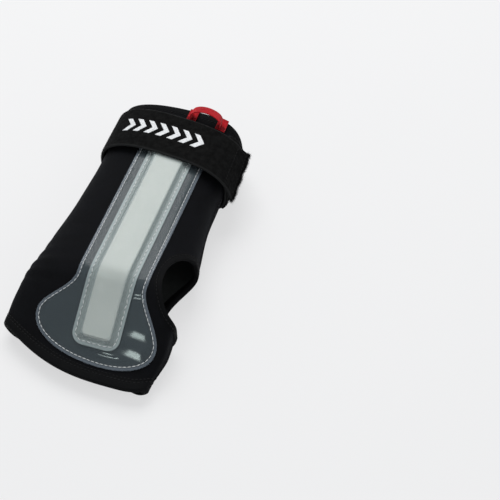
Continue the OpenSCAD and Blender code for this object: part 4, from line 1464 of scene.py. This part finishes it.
def pull_loop():
    """The ribbon's arch and its two legs, down to the tails that it turns into."""
    arch = np.linspace(0, 180, 260)
    foot = np.linspace(-ribbon_width / 2, 0, 14)[:-1]
    ends = np.full(len(foot), loop_span / 2)
    x = np.concatenate([-ends, -loop_span / 2 * cos(arch), ends])
    path = point(x, 0, np.concatenate([foot, loop_rise * sin(arch), foot[::-1]]))
    along = arc_length(path)
    broad = np.array([0, 1.0, 0])
    out_way = np.cross(broad, unit(np.gradient(path, axis=0)))
    rim_r = ribbon_thick / 2 - 0.08
    side, way, _, up = strip_grid(along, ribbon_width / 2, rim_r, 15, 3)
    lift = up * (rim_r + rib_height * waves(way / rib_pitch) * (np.abs(up) > 0.9))
    curl = 0.25 * np.sin(np.pi * way / along[-1]) * (side / (ribbon_width / 2)) ** 2
    rings = path[:, None] + (lift + curl)[..., None] * out_way[:, None] + side[..., None] * broad
    lean = np.array(Matrix.Rotation(math.radians(-loop_lean), 3, "X"))
    tilt = np.array(Matrix.Rotation(math.radians(-loop_tilt), 3, "Y"))
    seat = np.array([loop_side, loop_y, loop_z])
    piece = swept("ribbon_loop", rings @ lean.T @ tilt.T + seat, ribbon_red, np.stack([side, way], -1))
    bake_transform(piece)
    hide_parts("pull_loop")


ribbon_tails()
pull_loop()


# Floor, light and camera

def floor(size=8, drop=0.0003):
    """A table top just under the guard."""
    corners = size * np.array([(-1, -1, 0), (1, -1, 0), (1, 1, 0), (-1, 1, 0)])
    table = floor_material("pale_floor", (0.84, 0.84, 0.845), (0.87, 0.87, 0.87), glow=(0.87, 0.87, 0.875),
                           glow_share=0.72)
    piece = new_object("floor", new_mesh("floor", corners, faces=[(0, 1, 2, 3)]), table)
    piece.location.z = -drop


def softbox(name, way, distance, width, height, radiance, aim=(0, 0, 0)):
    """An area light in a direction from a point of the guard, facing it, given by its radiance."""
    light = bpy.data.lights.new(name, "AREA")
    light.shape = "RECTANGLE"
    light.size = width
    light.size_y = height
    light.energy = radiance * math.pi * width * height
    lamp = bpy.data.objects.new(name, light)
    direction = Vector(way).normalized()
    lamp.location = Vector(aim) + direction * distance
    lamp.rotation_euler = direction.to_track_quat("Z", "Y").to_euler()
    bpy.context.scene.collection.objects.link(lamp)
    return lamp


def studio_world():
    """Soft light from all round, with a plain pale ground for the camera."""
    world = bpy.data.worlds.new("studio")
    bpy.context.scene.world = world
    world.use_nodes = True
    sky = Tree(world.node_tree)
    shade = sky.fill(sky.tree.nodes["Background"], {"Color": (0.93, 0.96, 1.0, 1), "Strength": 0.42})
    pale = sky.first("ShaderNodeBackground", {"Color": (0.86, 0.86, 0.865, 1), "Strength": 1.0})
    seen = sky.add("ShaderNodeLightPath").outputs["Is Camera Ray"]
    pick = sky.first("ShaderNodeMixShader", {0: seen, 1: shade.outputs[0], 2: pale})
    sky.fill(sky.tree.nodes["World Output"], {"Surface": pick})


def camera():
    """The photograph's view: on a line down to the guard from the hand's side."""
    made = bpy.data.cameras.new("camera")
    made.lens = 93.6
    made.sensor_width = 36
    seat = bpy.data.objects.new("camera", made)
    bpy.context.scene.collection.objects.link(seat)
    forward = Vector((-0.1924, 0.5992, -0.7771)).normalized()
    right = Vector((0.952, 0.3057, 0)).normalized()
    location = Vector(place(np.array([244.3, -468.9, 716.5])))
    axes = Matrix((right, right.cross(forward), -forward)).transposed()
    seat.matrix_world = Matrix.Translation(location) @ axes.to_4x4()
    bpy.context.scene.camera = seat


floor()
softbox("back_softbox", (-0.2, 0.5, 0.84), distance=1.6, width=1.16, height=1.16, radiance=5.2)
softbox("side_softbox", (0.9, -0.1, 0.5), distance=1.6, width=0.9, height=0.9, radiance=0.8)
# A far window, which shows in gloss and adds no light of its own
window = softbox("far_window", (-0.235, -0.722, 0.65), distance=1.4, width=0.2, height=0.14, radiance=52,
                 aim=place(base_point(*np.array(bell_glints).mean(0), base_high)))
window.data.color = (0.85, 1.0, 0.965)
window.visible_diffuse = False
studio_world()
camera()
bpy.context.scene.view_settings.view_transform = "Standard"
